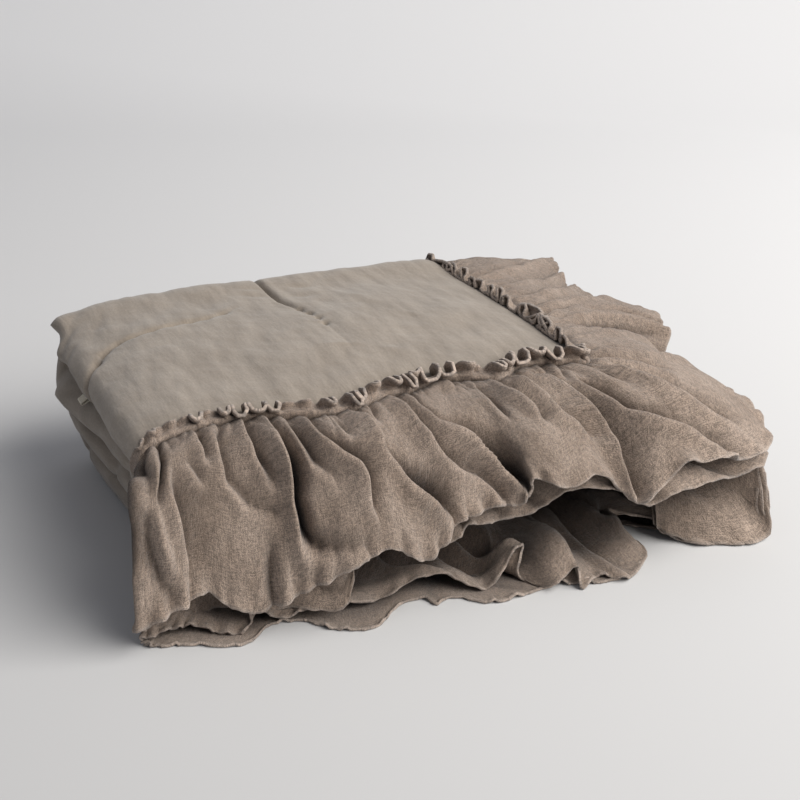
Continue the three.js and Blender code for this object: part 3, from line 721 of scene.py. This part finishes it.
RIDGE = {"rise": 0.35, "lean": 0.22}  # how far the ridge stands up and leans over, to the slit's depth
PAINTED_SHADE_SCALE = {"slit": 15, "ridge": 32}  # mm of slit depth for the full painted shade in a crease, and of ridge height for the full painted highlight on a ridge
VALLEY_SHARE = (0.35, 0.85)  # how much of them the bottom layer follows, and the one under the top
# The lowest layers' own swells and hollows, and the long hollow that they lie in.
LOWER_FOLDS = [  # at, share of the fall, height, half width, half depth
    (258, 0.72, -16, 9, 0.25), (284, 0.74, 13, 15, 0.28), (312, 0.7, -14, 9, 0.3),
    (226, 0.8, -10, 8, 0.2), (150, 0.8, -9, 8, 0.2),
]
LOWER_HOLLOW = {"deep": 12, "share": 0.7, "half": 0.17, "from": (20, 30), "to": (225, 30)}  # at, over


def sharp_valley(away, open_side, steep_side):
    """A valley with a steep left wall and a long right one, 1 at its bottom, which ends in a slit."""
    t = clamp(1 - np.where(away < 0, -away / steep_side, away / open_side))
    return 0.62 * t**1.5 + 0.38 * t**4


def crease_on(crease, at, w):
    """How far a crease draws the cloth in at each point, and the ridge beside it."""
    rows = np.array(crease, float)
    nearest = np.full(at.shape, 1e9)
    slit, ridge = 0 * at, 0 * at
    right_of = at > np.interp(w, rows[:, 1], rows[:, 0])
    for (at_1, w_1, deep_1, wide_1), (at_2, w_2, deep_2, wide_2) in zip(rows, rows[1:]):
        run, fall = at_2 - at_1, w_2 - w_1
        t = clamp(((at - at_1) * run + (w - w_1) * fall) / (run**2 + fall**2))
        away = np.hypot(at - mix(at_1, at_2, t), w - mix(w_1, w_2, t))
        wide, deep = mix(wide_1, wide_2, t), mix(deep_1, deep_2, t)
        side = np.where(right_of, away, -away) * np.sign(wide)
        closer = away < nearest
        nearest = np.minimum(nearest, away)
        slit = np.where(closer, deep * sharp_valley(side, 1.25 * np.abs(wide), 3.2), slit)
        ridge = np.where(closer, deep * np.exp(-(((side + 5) / 4) ** 2)), ridge)
    return slit, ridge


def below_seam(w):
    return ease((w + 3) / 9)


def creased(at, z, w, seed):
    """What the creases do to the gauze: how far they raise it and push it sideways; and the painted shade in them and
    under the top layer, with a painted highlight on their ridges.
    """
    v, top = clamp(w / RUFFLE_DEPTH), top_layer(z)
    # The lower layers follow the creases less, and a little to one side.
    follow = mix(mix(*VALLEY_SHARE, clamp(z / STACK)), 1, top)
    place = at + (1 - top) * 7 * uneven(at, z, 60, 20, seed) + 2.5 * ease(w / 30)
    slit, ridge = 0 * w, 0 * w
    for crease in GAUZE_CREASES:
        one_slit, one_ridge = crease_on(crease, place, w)
        slit, ridge = np.maximum(slit, one_slit), np.maximum(ridge, one_ridge)
    deeper = below_seam(w) * mix(*DEEPER, ease(w / 40)) * follow
    rise = deeper * (RIDGE["rise"] * ridge - slit)
    lean = RIDGE["lean"] * deeper * ridge
    for soft in (rise, lean):
        for _ in range(2):
            soft[:, 9:-1] = (soft[:, 8:-2] + 2 * soft[:, 9:-1] + soft[:, 10:]) / 4
            soft[1:-1] = (soft[:-2] + 2 * soft[1:-1] + soft[2:]) / 4
    # Painted shade on the lower layers, darkest in their upper part, under the top layer.
    painted_shade_under_top = 0.9 * (1 - top) * (1 - ease((v - 0.64) / 0.3))
    # Painted shade: darker colour the deeper a crease's slit, and a painted highlight on its ridge.
    drawn_in = clamp(deeper * (slit / PAINTED_SHADE_SCALE["slit"] - ridge / PAINTED_SHADE_SCALE["ridge"]), -1, 1)
    return rise, lean, np.maximum(drawn_in, painted_shade_under_top)


def folds_near_floor(at, z, w):
    """How far the lowest layers are raised in front, where they lie in folds of their own."""
    v = clamp(w / RUFFLE_DEPTH)
    (first, ease_in), (last, ease_out) = LOWER_HOLLOW["from"], LOWER_HOLLOW["to"]
    within = clamp((at - first) / ease_in) * (1 - ease((at - last) / ease_out))
    hollow = np.exp(-(((v - LOWER_HOLLOW["share"]) / LOWER_HOLLOW["half"]) ** 2))
    rise = -LOWER_HOLLOW["deep"] * within * hollow
    for place, share, height, half_wide, half_deep in LOWER_FOLDS:
        rise = rise + height * np.exp(-(((at - place) / half_wide) ** 2) - ((v - share) / half_deep) ** 2)
    return rise * (z < level_height(LEVELS - 1) + NEAR_SEAM) * (at < 345)


# The small gathers that run down from the seam, each of its own size.
GATHERS = {"gap": (5, 11), "depth": (0.8, 3.4), "fades_by": (8, 46), "width": (3.5, 7), "slant": 0.18}


def gathers(way, w, seed):
    """How far the gathers draw the gauze in."""
    random = np.random.default_rng(seed)
    drawn_in = 0 * w
    place = 0
    while place < way.max():
        place += random.uniform(*GATHERS["gap"])
        deep, fades_by = random.uniform(*GATHERS["depth"]), random.uniform(*GATHERS["fades_by"])
        wide, slant = random.uniform(*GATHERS["width"]), random.uniform(-GATHERS["slant"], GATHERS["slant"])
        near = np.abs(way[:, 0] - place) < 24
        part = sharp_valley(way[near] - place - slant * w[near], wide, 0.45 * wide)
        drawn_in[near] += deep * part * (1 - ease((w[near] - 0.25 * fades_by) / fades_by))
    return drawn_in * below_seam(w)


def loops(way, low, high, seed):
    """An uneven wave along the strip: its turn in whole waves, and each wave's own size from 0 to 1."""
    random = np.random.default_rng(seed)
    ends = np.concatenate([[0], np.cumsum(random.uniform(low, high, 800))])
    turn = np.interp(way, ends, np.arange(801))
    sizes = random.uniform(0, 1, 802)
    whole = turn.astype(int)
    return turn, mix(sizes[whole], sizes[whole + 1], ease(turn - whole))


# The frill above the seam leans in over the quilt. Its edge waves, and here and there it loops.
FRILL = {"long": (11.5, 15), "lean": (0.62, 0.16)}  # at the left and further on; in front and on the side
FRILL_WAVE = {"wave": (9, 18), "turn": 0.16, "loop_turn": (1.3, 0.6), "double": 0.17, "to_right": 0.18}
SIDE_LOOPS = {"width": (13, 26), "size": (0.6, 1.8), "gap": (11, 20), "shorter": 0.7, "doubled": 1.5}
FRILL_LOOPS = [  # at, width, size
    (6, 10, 1.1), (15, 9, 0.8), (30, 18, 0.3), (52, 11, 1.0), (73, 11, 0.9), (85, 12, 1.3), (99, 17, 1.1),
    (108, 11, 1.2), (128, 16, 0.3), (142, 12, 0.9), (161, 13, 1.1), (172, 11, 1.0), (184, 16, 0.5),
    (200, 14, 0.9), (210, 13, 1.2), (226, 16, 0.7), (240, 20, 1.3), (253, 14, 1.4), (266, 16, 0.6),
    (285, 14, 0.9), (303, 19, 0.8), (318, 17, 1.2), (334, 20, 0.7), (346, 15, 1.2), (359, 20, 0.7),
    (373, 11, 1.0),
]
FRILL_SEAM = {"recess": 3.4, "over": 7, "bulge": 4.2}  # how the frill's foot lies over the drawn-in seam


def frilled(base, columns, way, w, rightward, seed):
    """The frill's points, for the part of the strip above the seam."""
    at, upright = columns[5], np.array([0, 0, 1])
    out = np.stack([columns[3], columns[4], 0 * w], -1)
    around = ease((at - 360) / 30)
    inset = clamp(-w / HEADING)
    turn, size = loops(way, *FRILL_WAVE["wave"], seed)
    lean = mix(*FRILL["lean"], around) + 0.1 * uneven(way, 0, 26, 1, seed + 2)
    lean += FRILL_WAVE["turn"] * (0.4 + size) * np.cos(2 * np.pi * turn)
    double = 0 * w
    random = np.random.default_rng(seed + 1)
    side_loops, place = [], FRILL_LOOPS[-1][0] + 10
    while place < SIDE_START + FOLDED_DEPTH:
        wide, size = random.uniform(*SIDE_LOOPS["width"]), random.uniform(*SIDE_LOOPS["size"])
        side_loops.append((place, wide, size))
        place += random.uniform(*SIDE_LOOPS["gap"])
    for place, wide, size in FRILL_LOOPS + side_loops:
        phase = 2 * np.pi * (at - place) / wide
        window = np.cos(np.clip(phase / 3, -np.pi / 2, np.pi / 2)) ** 2 * size
        lean += mix(*FRILL_WAVE["loop_turn"], around) * window * (0.25 + np.cos(phase))
        double += FRILL_WAVE["double"] * wide * window * np.sin(2 * phase)
        towards = FRILL_WAVE["to_right"] * random.choice((-1, 1, 1))
        double += towards * wide * window * (1 + np.cos(phase + 0.5))
    double *= mix(1, SIDE_LOOPS["doubled"], around)
    grows = ease(inset * 1.3)
    lean = mix(mix(0.8, 0.3, around), clamp(lean, 0.05, 2.5), grows)
    reach = mix(*FRILL["long"], ease((at - 60) / 180)) * mix(1, SIDE_LOOPS["shorter"], around) * inset
    foot = FRILL_SEAM["bulge"] * np.sin(np.pi * clamp(2.2 * inset)) * (1 - around)
    inward = FRILL_SEAM["recess"] + reach * np.cos(lean) - foot
    up = 1 + reach * np.sin(lean) + 0.4 * foot
    seam = base[:, ABOVE_SEAM : ABOVE_SEAM + 1]
    sideways = rightward * (double * grows)[..., None]
    return seam + upright * up[..., None] - out * inward[..., None] + sideways


GATHERED = 1.4  # flat cloth to each length of seam
HEM_WAVE = {"loop": (7, 17), "height": 3.2, "from": 18}
ROLLED = 0.75  # how much thicker the rolled hem is, to each side; the frill's edge half as much again
DOWN = np.concatenate(  # each line down the strip, from the frill's edge to the hem
    [
        [-12, -11.6, -10.6, -9, -7, -5, -3, -1.4],
        (RUFFLE_DEPTH - 4) * np.linspace(0, 1, 42) ** 1.05,
        RUFFLE_DEPTH - np.array([2.7, 1.4, 0.3, 0]),
    ]
)
ABOVE_SEAM = 8  # points of each line


def outer_normals(base, columns):
    """The fall's normals, evened along the strip, on the side that faces out or up."""
    normal = normals_of(base)
    window = np.hanning(23)[1:-1] / 11
    for j, k in np.ndindex(len(DOWN), 3):
        normal[:, j, k] = np.convolve(np.pad(normal[:, j, k], 10, "edge"), window, "valid")
    normal = unit(normal)
    outer_side = np.stack([0.5 * columns[3], 0.5 * columns[4], 1 + 0 * columns[5]], -1)
    return normal * clamp(3 * (normal * outer_side).sum(-1, keepdims=True), -1)


def gathered(name, stops, seed):
    """The strip's mesh: its fall, and the creases, gathers and frill of the gauze on it."""
    columns = [column[:, None] + 0 * DOWN for column in stops.T]
    seam_ways = np.linalg.norm(np.diff(stops[:, :3], axis=0), axis=1)
    way = np.concatenate([[0], np.cumsum(seam_ways)])[:, None] + 0 * DOWN
    at, z = columns[5], columns[2]
    w = DOWN + 0 * at
    long = 1 + 0.022 * uneven(way, 0, 34, 1, seed) + 0.012 * uneven(way, 0, 13, 1, seed + 1)
    base = led_to_hems(gauze_point(columns, np.where(w > 0, w * long, w)), columns, w)
    outward = outer_normals(base, columns)
    rightward = unit(np.gradient(base, axis=0) * np.sign(np.gradient(at, axis=0))[..., None])
    downward = unit(np.gradient(base, axis=1))

    rise, lean, drawn_in = creased(at, z, w, seed + 2)
    rise += folds_near_floor(at, z, w) - gathers(way, w, seed + 3)
    # The washed gauze is uneven all over, from wide swells to small crinkles, and its hem waves.
    rise += 1.8 * uneven(way, w, 31, 46, seed + 4) * ease(w / 60)
    rise += 1.3 * uneven(way + 0.4 * w, w, 12, 24, seed + 5) * ease(w / 25)
    rise += 0.6 * uneven(way, w, 7, 9, seed + 6)
    turn, size = loops(way, *HEM_WAVE["loop"], seed + 7)
    at_hem = clamp((w - RUFFLE_DEPTH + HEM_WAVE["from"]) / HEM_WAVE["from"]) ** 1.6
    calmer = 1 - 0.6 * ease((at - 400) / 60)
    rise += HEM_WAVE["height"] * calmer * (0.3 + size) * at_hem * np.sin(2 * np.pi * turn)
    fray = 0.9 * uneven(way, 0, 4.5, 1, seed + 11) + 0.6 * uneven(way, 0, 2.4, 1, seed + 12)
    sideways = 0.12 * rise * below_seam(w) + lean
    sheet = base + outward * rise[..., None] + rightward * sideways[..., None]
    sheet += downward * (fray * at_hem**3)[..., None]

    # Above the seam is the frill; the seam itself is drawn in under it.
    top = top_layer(z)
    sheet = mix(sheet, frilled(base, columns, way, w, rightward, seed + 8), (top * (w < 0))[..., None])
    recess = FRILL_SEAM["recess"] * top * (w >= 0) * (1 - ease(w / FRILL_SEAM["over"]))
    sheet[..., 0] -= columns[3] * recess
    sheet[..., 1] -= columns[4] * recess
    # Painted shade along the top layer's seam under the frill, and none on the frill itself.
    drawn_in = np.where(w < -1, 0, np.maximum(drawn_in, 0.9 * top * (1 - ease(w / 6))))

    from_edge = np.minimum(RUFFLE_DEPTH - w, w + HEADING)
    rolled = ROLLED * (1 + 0.5 * (w < 0)) * np.sqrt(clamp(1 - (from_edge / 2 - 0.85) ** 2))
    half_thick = GAUZE / 2 + rolled
    sheet[..., 2] = np.maximum(sheet[..., 2], half_thick + 0.35)
    return two_faced(name, sheet, half_thick, np.stack([GATHERED * way, w], -1), drawn_in)


def two_faced(name, sheet, half_thick, cloth, drawn_in):
    """The strip's closed mesh. Each ring of points runs down its inner face and up its outer one."""
    normal = normals_of(sheet) * half_thick[..., None]
    points = np.concatenate([sheet - normal, (sheet + normal)[:, ::-1]], axis=1)
    last = points.shape[1] - 1
    ends = [(i, i + 1, last - i - 1, last - i) for i in range(len(DOWN) - 1)]
    made = cloth_object(name, points, ends, np.concatenate([cloth, cloth[:, ::-1]], axis=1))
    # Each point keeps its painted shade and painted highlight as an attribute for the gauze's colour.
    values = np.concatenate([drawn_in, drawn_in[:, ::-1]], axis=1).ravel()
    made.data.attributes.new("drawn_in", "FLOAT", "POINT").data.foreach_set("value", values)
    return made, cloth[-1, 0, 0]


def seam_stops(open_level, inner_level, first_side, steps):
    """The strip's seam from one end to the other: rows of x, y, z, out_x, out_y, at."""
    turn = 1 if inner_level > open_level else -1
    middle, inner = level_height(open_level), level_height(inner_level)
    side_end = FOLDED_DEPTH - TURN_IN
    halves = {}
    for sign in (1, -1):
        front, corner, side = steps[sign]
        z = middle + sign * SEAM_OFFSET
        rows = [(x, 0, z, 0, -1, x) for x in np.arange(HALF_LEVEL, FOLDED_WIDTH - CORNER_RADIUS, front)]
        for angle in np.arange(0, math.pi / 2, corner / CORNER_RADIUS):
            out_x, out_y = math.sin(angle), -math.cos(angle)
            x = FOLDED_WIDTH - CORNER_RADIUS * (1 - out_x)
            at = FOLDED_WIDTH - CORNER_RADIUS * (1 - angle)
            rows.append((x, CORNER_RADIUS * (1 + out_y), z, out_x, out_y, at))
        side_line = [(y, z) for y in np.arange(CORNER_RADIUS, side_end, side)]
        # Round the back turn to the next level, forward again, and half round the front turn.
        radius = TURN_RADIUS + sign * turn * SEAM_OFFSET
        for angle in np.linspace(0, math.pi, round(8 + radius))[:-1]:
            z = middle - turn * (TURN_RADIUS - radius * math.cos(angle))
            side_line.append((side_end + radius * math.sin(angle), z))
        side_line += [(y, inner - sign * SEAM_OFFSET) for y in np.arange(side_end, TURN_IN, -5.5)]
        radius = TURN_RADIUS - sign * turn * SEAM_OFFSET
        for angle in np.linspace(0, 0.46 * math.pi, round(6 + radius / 2)):
            z = inner - turn * (TURN_RADIUS - radius * math.cos(angle))
            side_line.append((TURN_IN - radius * math.sin(angle), z))
        halves[sign] = rows + [(FOLDED_WIDTH, y, z, 1, 0, SIDE_START + y) for y, z in side_line]
    bend = []
    for angle in np.radians(np.arange(-84, 85, 7)):
        x = HALF_LEVEL - SEAM_OFFSET * math.cos(angle)
        bend.append((x, 0, middle - first_side * SEAM_OFFSET * math.sin(angle), 0, -1, x))
    return np.array(halves[first_side][::-1] + bend + halves[-first_side])


# Coarse linen gauze, loosely woven from slubby yarn and washed: browner than the quilt, matt and crinkled,
# with dark gaps between its threads. They are drawn nine or ten to the centimetre, as coarse as they need
# to be to show.
gauze, add = new_material("linen_gauze")
flat = add("UVMap", {"uv_map": "cloth"})
noise = {}
for pattern, mm, stretch, detail in (
    ("warp", 10 / 9.5, (1, 0.25, 1), 1),
    ("weft", 10 / 9.5, (0.25, 1, 1), 1),
    ("grain", 10 / 19, (1, 1, 1), 1),
    ("slubs", 10 / 2.6, (1, 0.3, 1), 3),
    ("clouds", 10 / 0.3, (1, 1, 1), 3),
    ("crinkle", 10 / 2.1, (1, 0.5, 1), 3),
):
    placed = add("Mapping", Vector=flat, Scale=stretch)
    noise[pattern] = add("TexNoise", Vector=placed, Scale=1000 / mm, Detail=detail)
weave = add("Math", {"operation": "ADD"}, i0=noise["warp"], i1=noise["weft"])
weave = add("Math", {"operation": "MULTIPLY_ADD"}, i0=noise["grain"], i1=2, i2=weave)
tone = add("ValToRGB", stops=[(0.3, "8a796b"), (0.7, "a19082")], Fac=noise["clouds"])
for pattern, strength, stops in (
    (add("Math", {"operation": "MULTIPLY"}, i0=weave, i1=0.25), 0.8, [(0.4, "7a7a7a"), (0.6, "e6e6e6")]),
    (noise["slubs"], 0.25, [(0.35, "9c9c9c"), (0.65, "d4d4d4")]),
):
    grey = add("ValToRGB", stops=stops, Fac=pattern)
    tone = add("MixRGB", {"blend_type": "OVERLAY"}, Fac=strength, Color1=tone, Color2=grey)
# Painted shade: the colour is darkened where the gauze is drawn into a crease, along the seam and under the top layer,
# and made paler as a painted highlight on the ridges.
drawn_in = add("Attribute", {"attribute_name": "drawn_in"}).outputs["Fac"]
half_way = add("Math", {"operation": "MULTIPLY_ADD"}, i0=drawn_in, i1=0.5, i2=0.5)
painted_shade_tone = add("ValToRGB", stops=[(0.0, "ffffff"), (0.5, "efefef"), (1.0, "5f554e")], Fac=half_way)
tone = add("MixRGB", {"blend_type": "MULTIPLY"}, Fac=1.0, Color1=tone, Color2=painted_shade_tone)
# The rolled edges are a little worn and paler.
down = add("SeparateXYZ", Vector=flat).outputs["Y"]
share_down = add("Math", {"operation": "MULTIPLY_ADD"}, i0=down, i1=6.25, i2=0.075)
worn = [(0.0, "ffffff"), (0.013, "000000"), (0.967, "000000"), (0.978, "ffffff")]
edge = add("ValToRGB", stops=worn, Fac=share_down)
tone = add("MixRGB", {"blend_type": "SCREEN"}, Fac=0.06, Color1=tone, Color2=edge)
threads = add("Bump", Strength=0.9, Distance=0.0006, Height=weave)
crinkled = add("Bump", Strength=0.7, Distance=0.0016, Height=noise["crinkle"], Normal=threads)
surface = add(
    "BsdfPrincipled",
    Base_Color=tone,
    Roughness=0.95,
    Specular_IOR_Level=0.12,
    Sheen_Weight=0.2,
    Sheen_Roughness=0.6,
    Normal=crinkled,
)
add("OutputMaterial", Surface=surface)

LAYER_STEPS = {  # for each strip's two sides: the spacing of its stops at the front, the corner, the side
    "upper": {1: (0.96, 0.96, 1.7), -1: (3, 3, 8)},
    "lower": {1: (2.1, 2.1, 3.4), -1: (2.1, 2.1, 3.4)},
}
for half, open_level, inner_level, first_side, seed in (("upper", 0, 1, -1, 20), ("lower", 3, 2, 1, 60)):
    stops = seam_stops(open_level, inner_level, first_side, LAYER_STEPS[half])
    ruffle, flat_length = gathered("gauze_ruffle_" + half, stops, seed)
    ruffle.data.materials.append(gauze)
    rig.ride(ruffle, "root")
    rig.replaces(ruffle, "ruffle_" + half)
    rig.slot(ruffle, "linen_gauze")
    flat_size = ((RUFFLE_DEPTH + HEADING) / 1000, flat_length / 1000)
    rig.sheet(ruffle, flat=flat_size, held="gathered", rests_on=["washed_quilt"])

# ---- The label ----
# A loop of plain cotton tape, folded in two and caught in the left side of the pile. It stands a little
# open at its fold, and its faces are slightly dished.
TAPE = {"width": 12, "reach": 26, "thick": 0.9, "bore": 1.2, "root": 26, "y": 196, "clear": 0.5, "hangs": 4}
TAPE_FLAT = (12, 55)  # opened out
TAPE_OPENS = 1.0
TAPE_DISH = 0.35

middle_radius = (TAPE["thick"] + TAPE["bore"]) / 2
lengths = np.linspace(TAPE["reach"] - 1.5, 0, 22)
swell = TAPE_OPENS * np.sin(np.pi * clamp(1 - lengths / 22)) ** 2
fold = np.radians(np.linspace(90, 270, 15))[1:-1]
line = [(x, middle_radius + s) for x, s in zip(lengths, swell)]
line += [(middle_radius * math.cos(angle), middle_radius * math.sin(angle)) for angle in fold]
line += [(x, -middle_radius - 0.3 * s) for x, s in zip(lengths[::-1], swell[::-1])]
line = np.array(line)
along = unit(np.gradient(line, axis=0))
side = np.column_stack([-along[:, 1], along[:, 0]]) * TAPE["thick"] / 2
across = np.linspace(-0.5, 0.5, 9) * TAPE["width"]
grid = []
for face, places in ((line + side, across), (line - side, across[::-1])):
    for y in places:
        dish = TAPE_DISH * (1 - (2 * y / TAPE["width"]) ** 2)
        grid.append(np.column_stack([face[:, 0], 0 * face[:, 0] + y, face[:, 1] + dish - 0.2]))
grid = np.stack(grid, 1)

# It lies under the top level, tilted as that is there, and its end hangs.
height = level_height(0) - HALF_LEVEL - TAPE["clear"] - TAPE["thick"] - TAPE["bore"] / 2
ends = np.array([TAPE["root"], TAPE["root"] - TAPE["reach"]])
root, tip = settle(ends, TAPE["y"] + 0.0 * ends, height + 0.0 * ends)
tilt = math.atan2(tip[2] - root[2], root[0] - tip[0])
turned_x = tip[0] + grid[..., 0] * math.cos(tilt) + grid[..., 2] * math.sin(tilt)
turned_z = tip[2] - grid[..., 0] * math.sin(tilt) + grid[..., 2] * math.cos(tilt)
hangs = TAPE["hangs"] * clamp(1 - grid[..., 0] / TAPE["reach"]) ** 2
points = np.stack([turned_x, tip[1] + grid[..., 1], turned_z - hangs], -1)
cloth = np.stack([grid[..., 1], np.arange(len(line))[:, None] * 1.2 + 0 * turned_x], -1)
label = cloth_object("tape_loop", points, [range(2 * len(across))], cloth)

# Cotton tape, closely woven: cream and matt, with a fine rib across.
tape, add = new_material("cotton_tape")
flat = add("UVMap", {"uv_map": "cloth"})
noise = {}
for pattern, mm, stretch, detail in (("rib", 10 / 15, (0.1, 1, 1), 1), ("clouds", 5, (1, 1, 1), 2)):
    placed = add("Mapping", Vector=flat, Scale=stretch)
    noise[pattern] = add("TexNoise", Vector=placed, Scale=1000 / mm, Detail=detail)
tone = add("ValToRGB", stops=[(0.3, "d2cbbc"), (0.7, "e0dacd")], Fac=noise["clouds"])
grey = add("ValToRGB", stops=[(0.3, "606060"), (0.7, "a0a0a0")], Fac=noise["rib"])
tone = add("MixRGB", {"blend_type": "OVERLAY"}, Fac=0.3, Color1=tone, Color2=grey)
ribbed = add("Bump", Strength=0.5, Distance=0.0002, Height=noise["rib"])
surface = add("BsdfPrincipled", Base_Color=tone, Roughness=0.85, Normal=ribbed)
add("OutputMaterial", Surface=surface)
label.data.materials.append(tape)
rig.ride(label, "root")
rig.replaces(label, "label")
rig.slot(label, "cotton_tape")
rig.sheet(label, flat=tuple(side / 1000 for side in TAPE_FLAT), held="folded", rests_on=["washed_quilt"])

# ---- The floor ----
# A wide sheet of pale paper that lies flat under the pile and sweeps up far behind it.
SWEEP = {"near": -3, "flat_to": 1.5, "radius": 1.6, "half_width": 7, "turned": -24.5}  # m and degrees
sweep_line = [(SWEEP["near"], 0), (SWEEP["flat_to"], 0)]
for angle in np.radians(np.arange(5, 91, 5)):
    forward = SWEEP["flat_to"] + SWEEP["radius"] * math.sin(angle)
    sweep_line.append((forward, SWEEP["radius"] * (1 - math.cos(angle))))
sweep_points = [(side * SWEEP["half_width"], *place) for place in sweep_line for side in (-1, 1)]
sweep_faces = [(i, i + 1, i + 3, i + 2) for i in range(0, len(sweep_points) - 2, 2)]
sweep_mesh = bpy.data.meshes.new("paper_sweep")
sweep_mesh.from_pydata(sweep_points, [], sweep_faces)
sweep_mesh.shade_smooth()
floor = bpy.data.objects.new("paper_sweep", sweep_mesh)
floor.rotation_euler.z = math.radians(SWEEP["turned"])
bpy.context.scene.collection.objects.link(floor)
# Matt pale grey paper, with a painted falloff of the lamp's light: painted shade, a little deeper near the camera and
# on the left.
paper, add = new_material("pale_paper_painted_falloff")
where = add("TexCoord").outputs["Object"]
turned = add("Mapping", Vector=where, Location=(0.2, 0, 0), Rotation=(0, 0, -1.22), Scale=(0.25, 0.25, 1))
away = add("SeparateXYZ", Vector=turned).outputs["X"]
tone = add("ValToRGB", stops=[(0.0, "b0b0b0"), (0.22, "c9c9c9"), (0.6, "e6e6e6")], Fac=away)
surface = add("BsdfPrincipled", Base_Color=tone, Roughness=0.95, Specular_IOR_Level=0.1)
add("OutputMaterial", Surface=surface)
sweep_mesh.materials.append(paper)
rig.stage(floor)

# ---- Light and camera ----
# One wide soft lamp, high up in front on the right, in a softly lit room; the camera looks down on the
# pile's front left corner.
key = bpy.data.lights.new("key", "AREA")
key.shape = "RECTANGLE"
key.size, key.size_y = 3.4, 2.5
key.energy = 192
key.color = linear("fffcf8")[:3]
lamp = bpy.data.objects.new("key", key)
lamp.location = (1.6, -1.8, 2.15)
lamp.rotation_euler = (mathutils.Vector((0, 0, 0.06)) - lamp.location).to_track_quat("-Z", "Y").to_euler()
bpy.context.scene.collection.objects.link(lamp)

world = bpy.data.worlds.new("soft_room")
world.use_nodes = True
room = world.node_tree.nodes["Background"].inputs
room["Color"].default_value = linear("f4f6ff")
room["Strength"].default_value = 0.31
bpy.context.scene.world = world
bpy.context.scene.view_settings.view_transform = "Standard"

CAMERA = {"at": (-212, -913, 558), "down": 22.5, "turned": -24.5}  # mm in the square layout, and degrees
camera_data = bpy.data.cameras.new("camera")
camera_data.lens = 65.25
camera_data.sensor_width = 36
camera = bpy.data.objects.new("camera", camera_data)
camera.location = (np.array(CAMERA["at"]) + LAYOUT_TO_PART) / 1000
camera.rotation_euler = (math.radians(90 - CAMERA["down"]), 0, math.radians(CAMERA["turned"]))
bpy.context.scene.collection.objects.link(camera)
bpy.context.scene.camera = camera

with open("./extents.json", "w") as out:
    sizes = {"loaded": size_before, "finished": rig.bounds()}
    json.dump(sizes, out, default=lambda value: [float(x) for x in value])
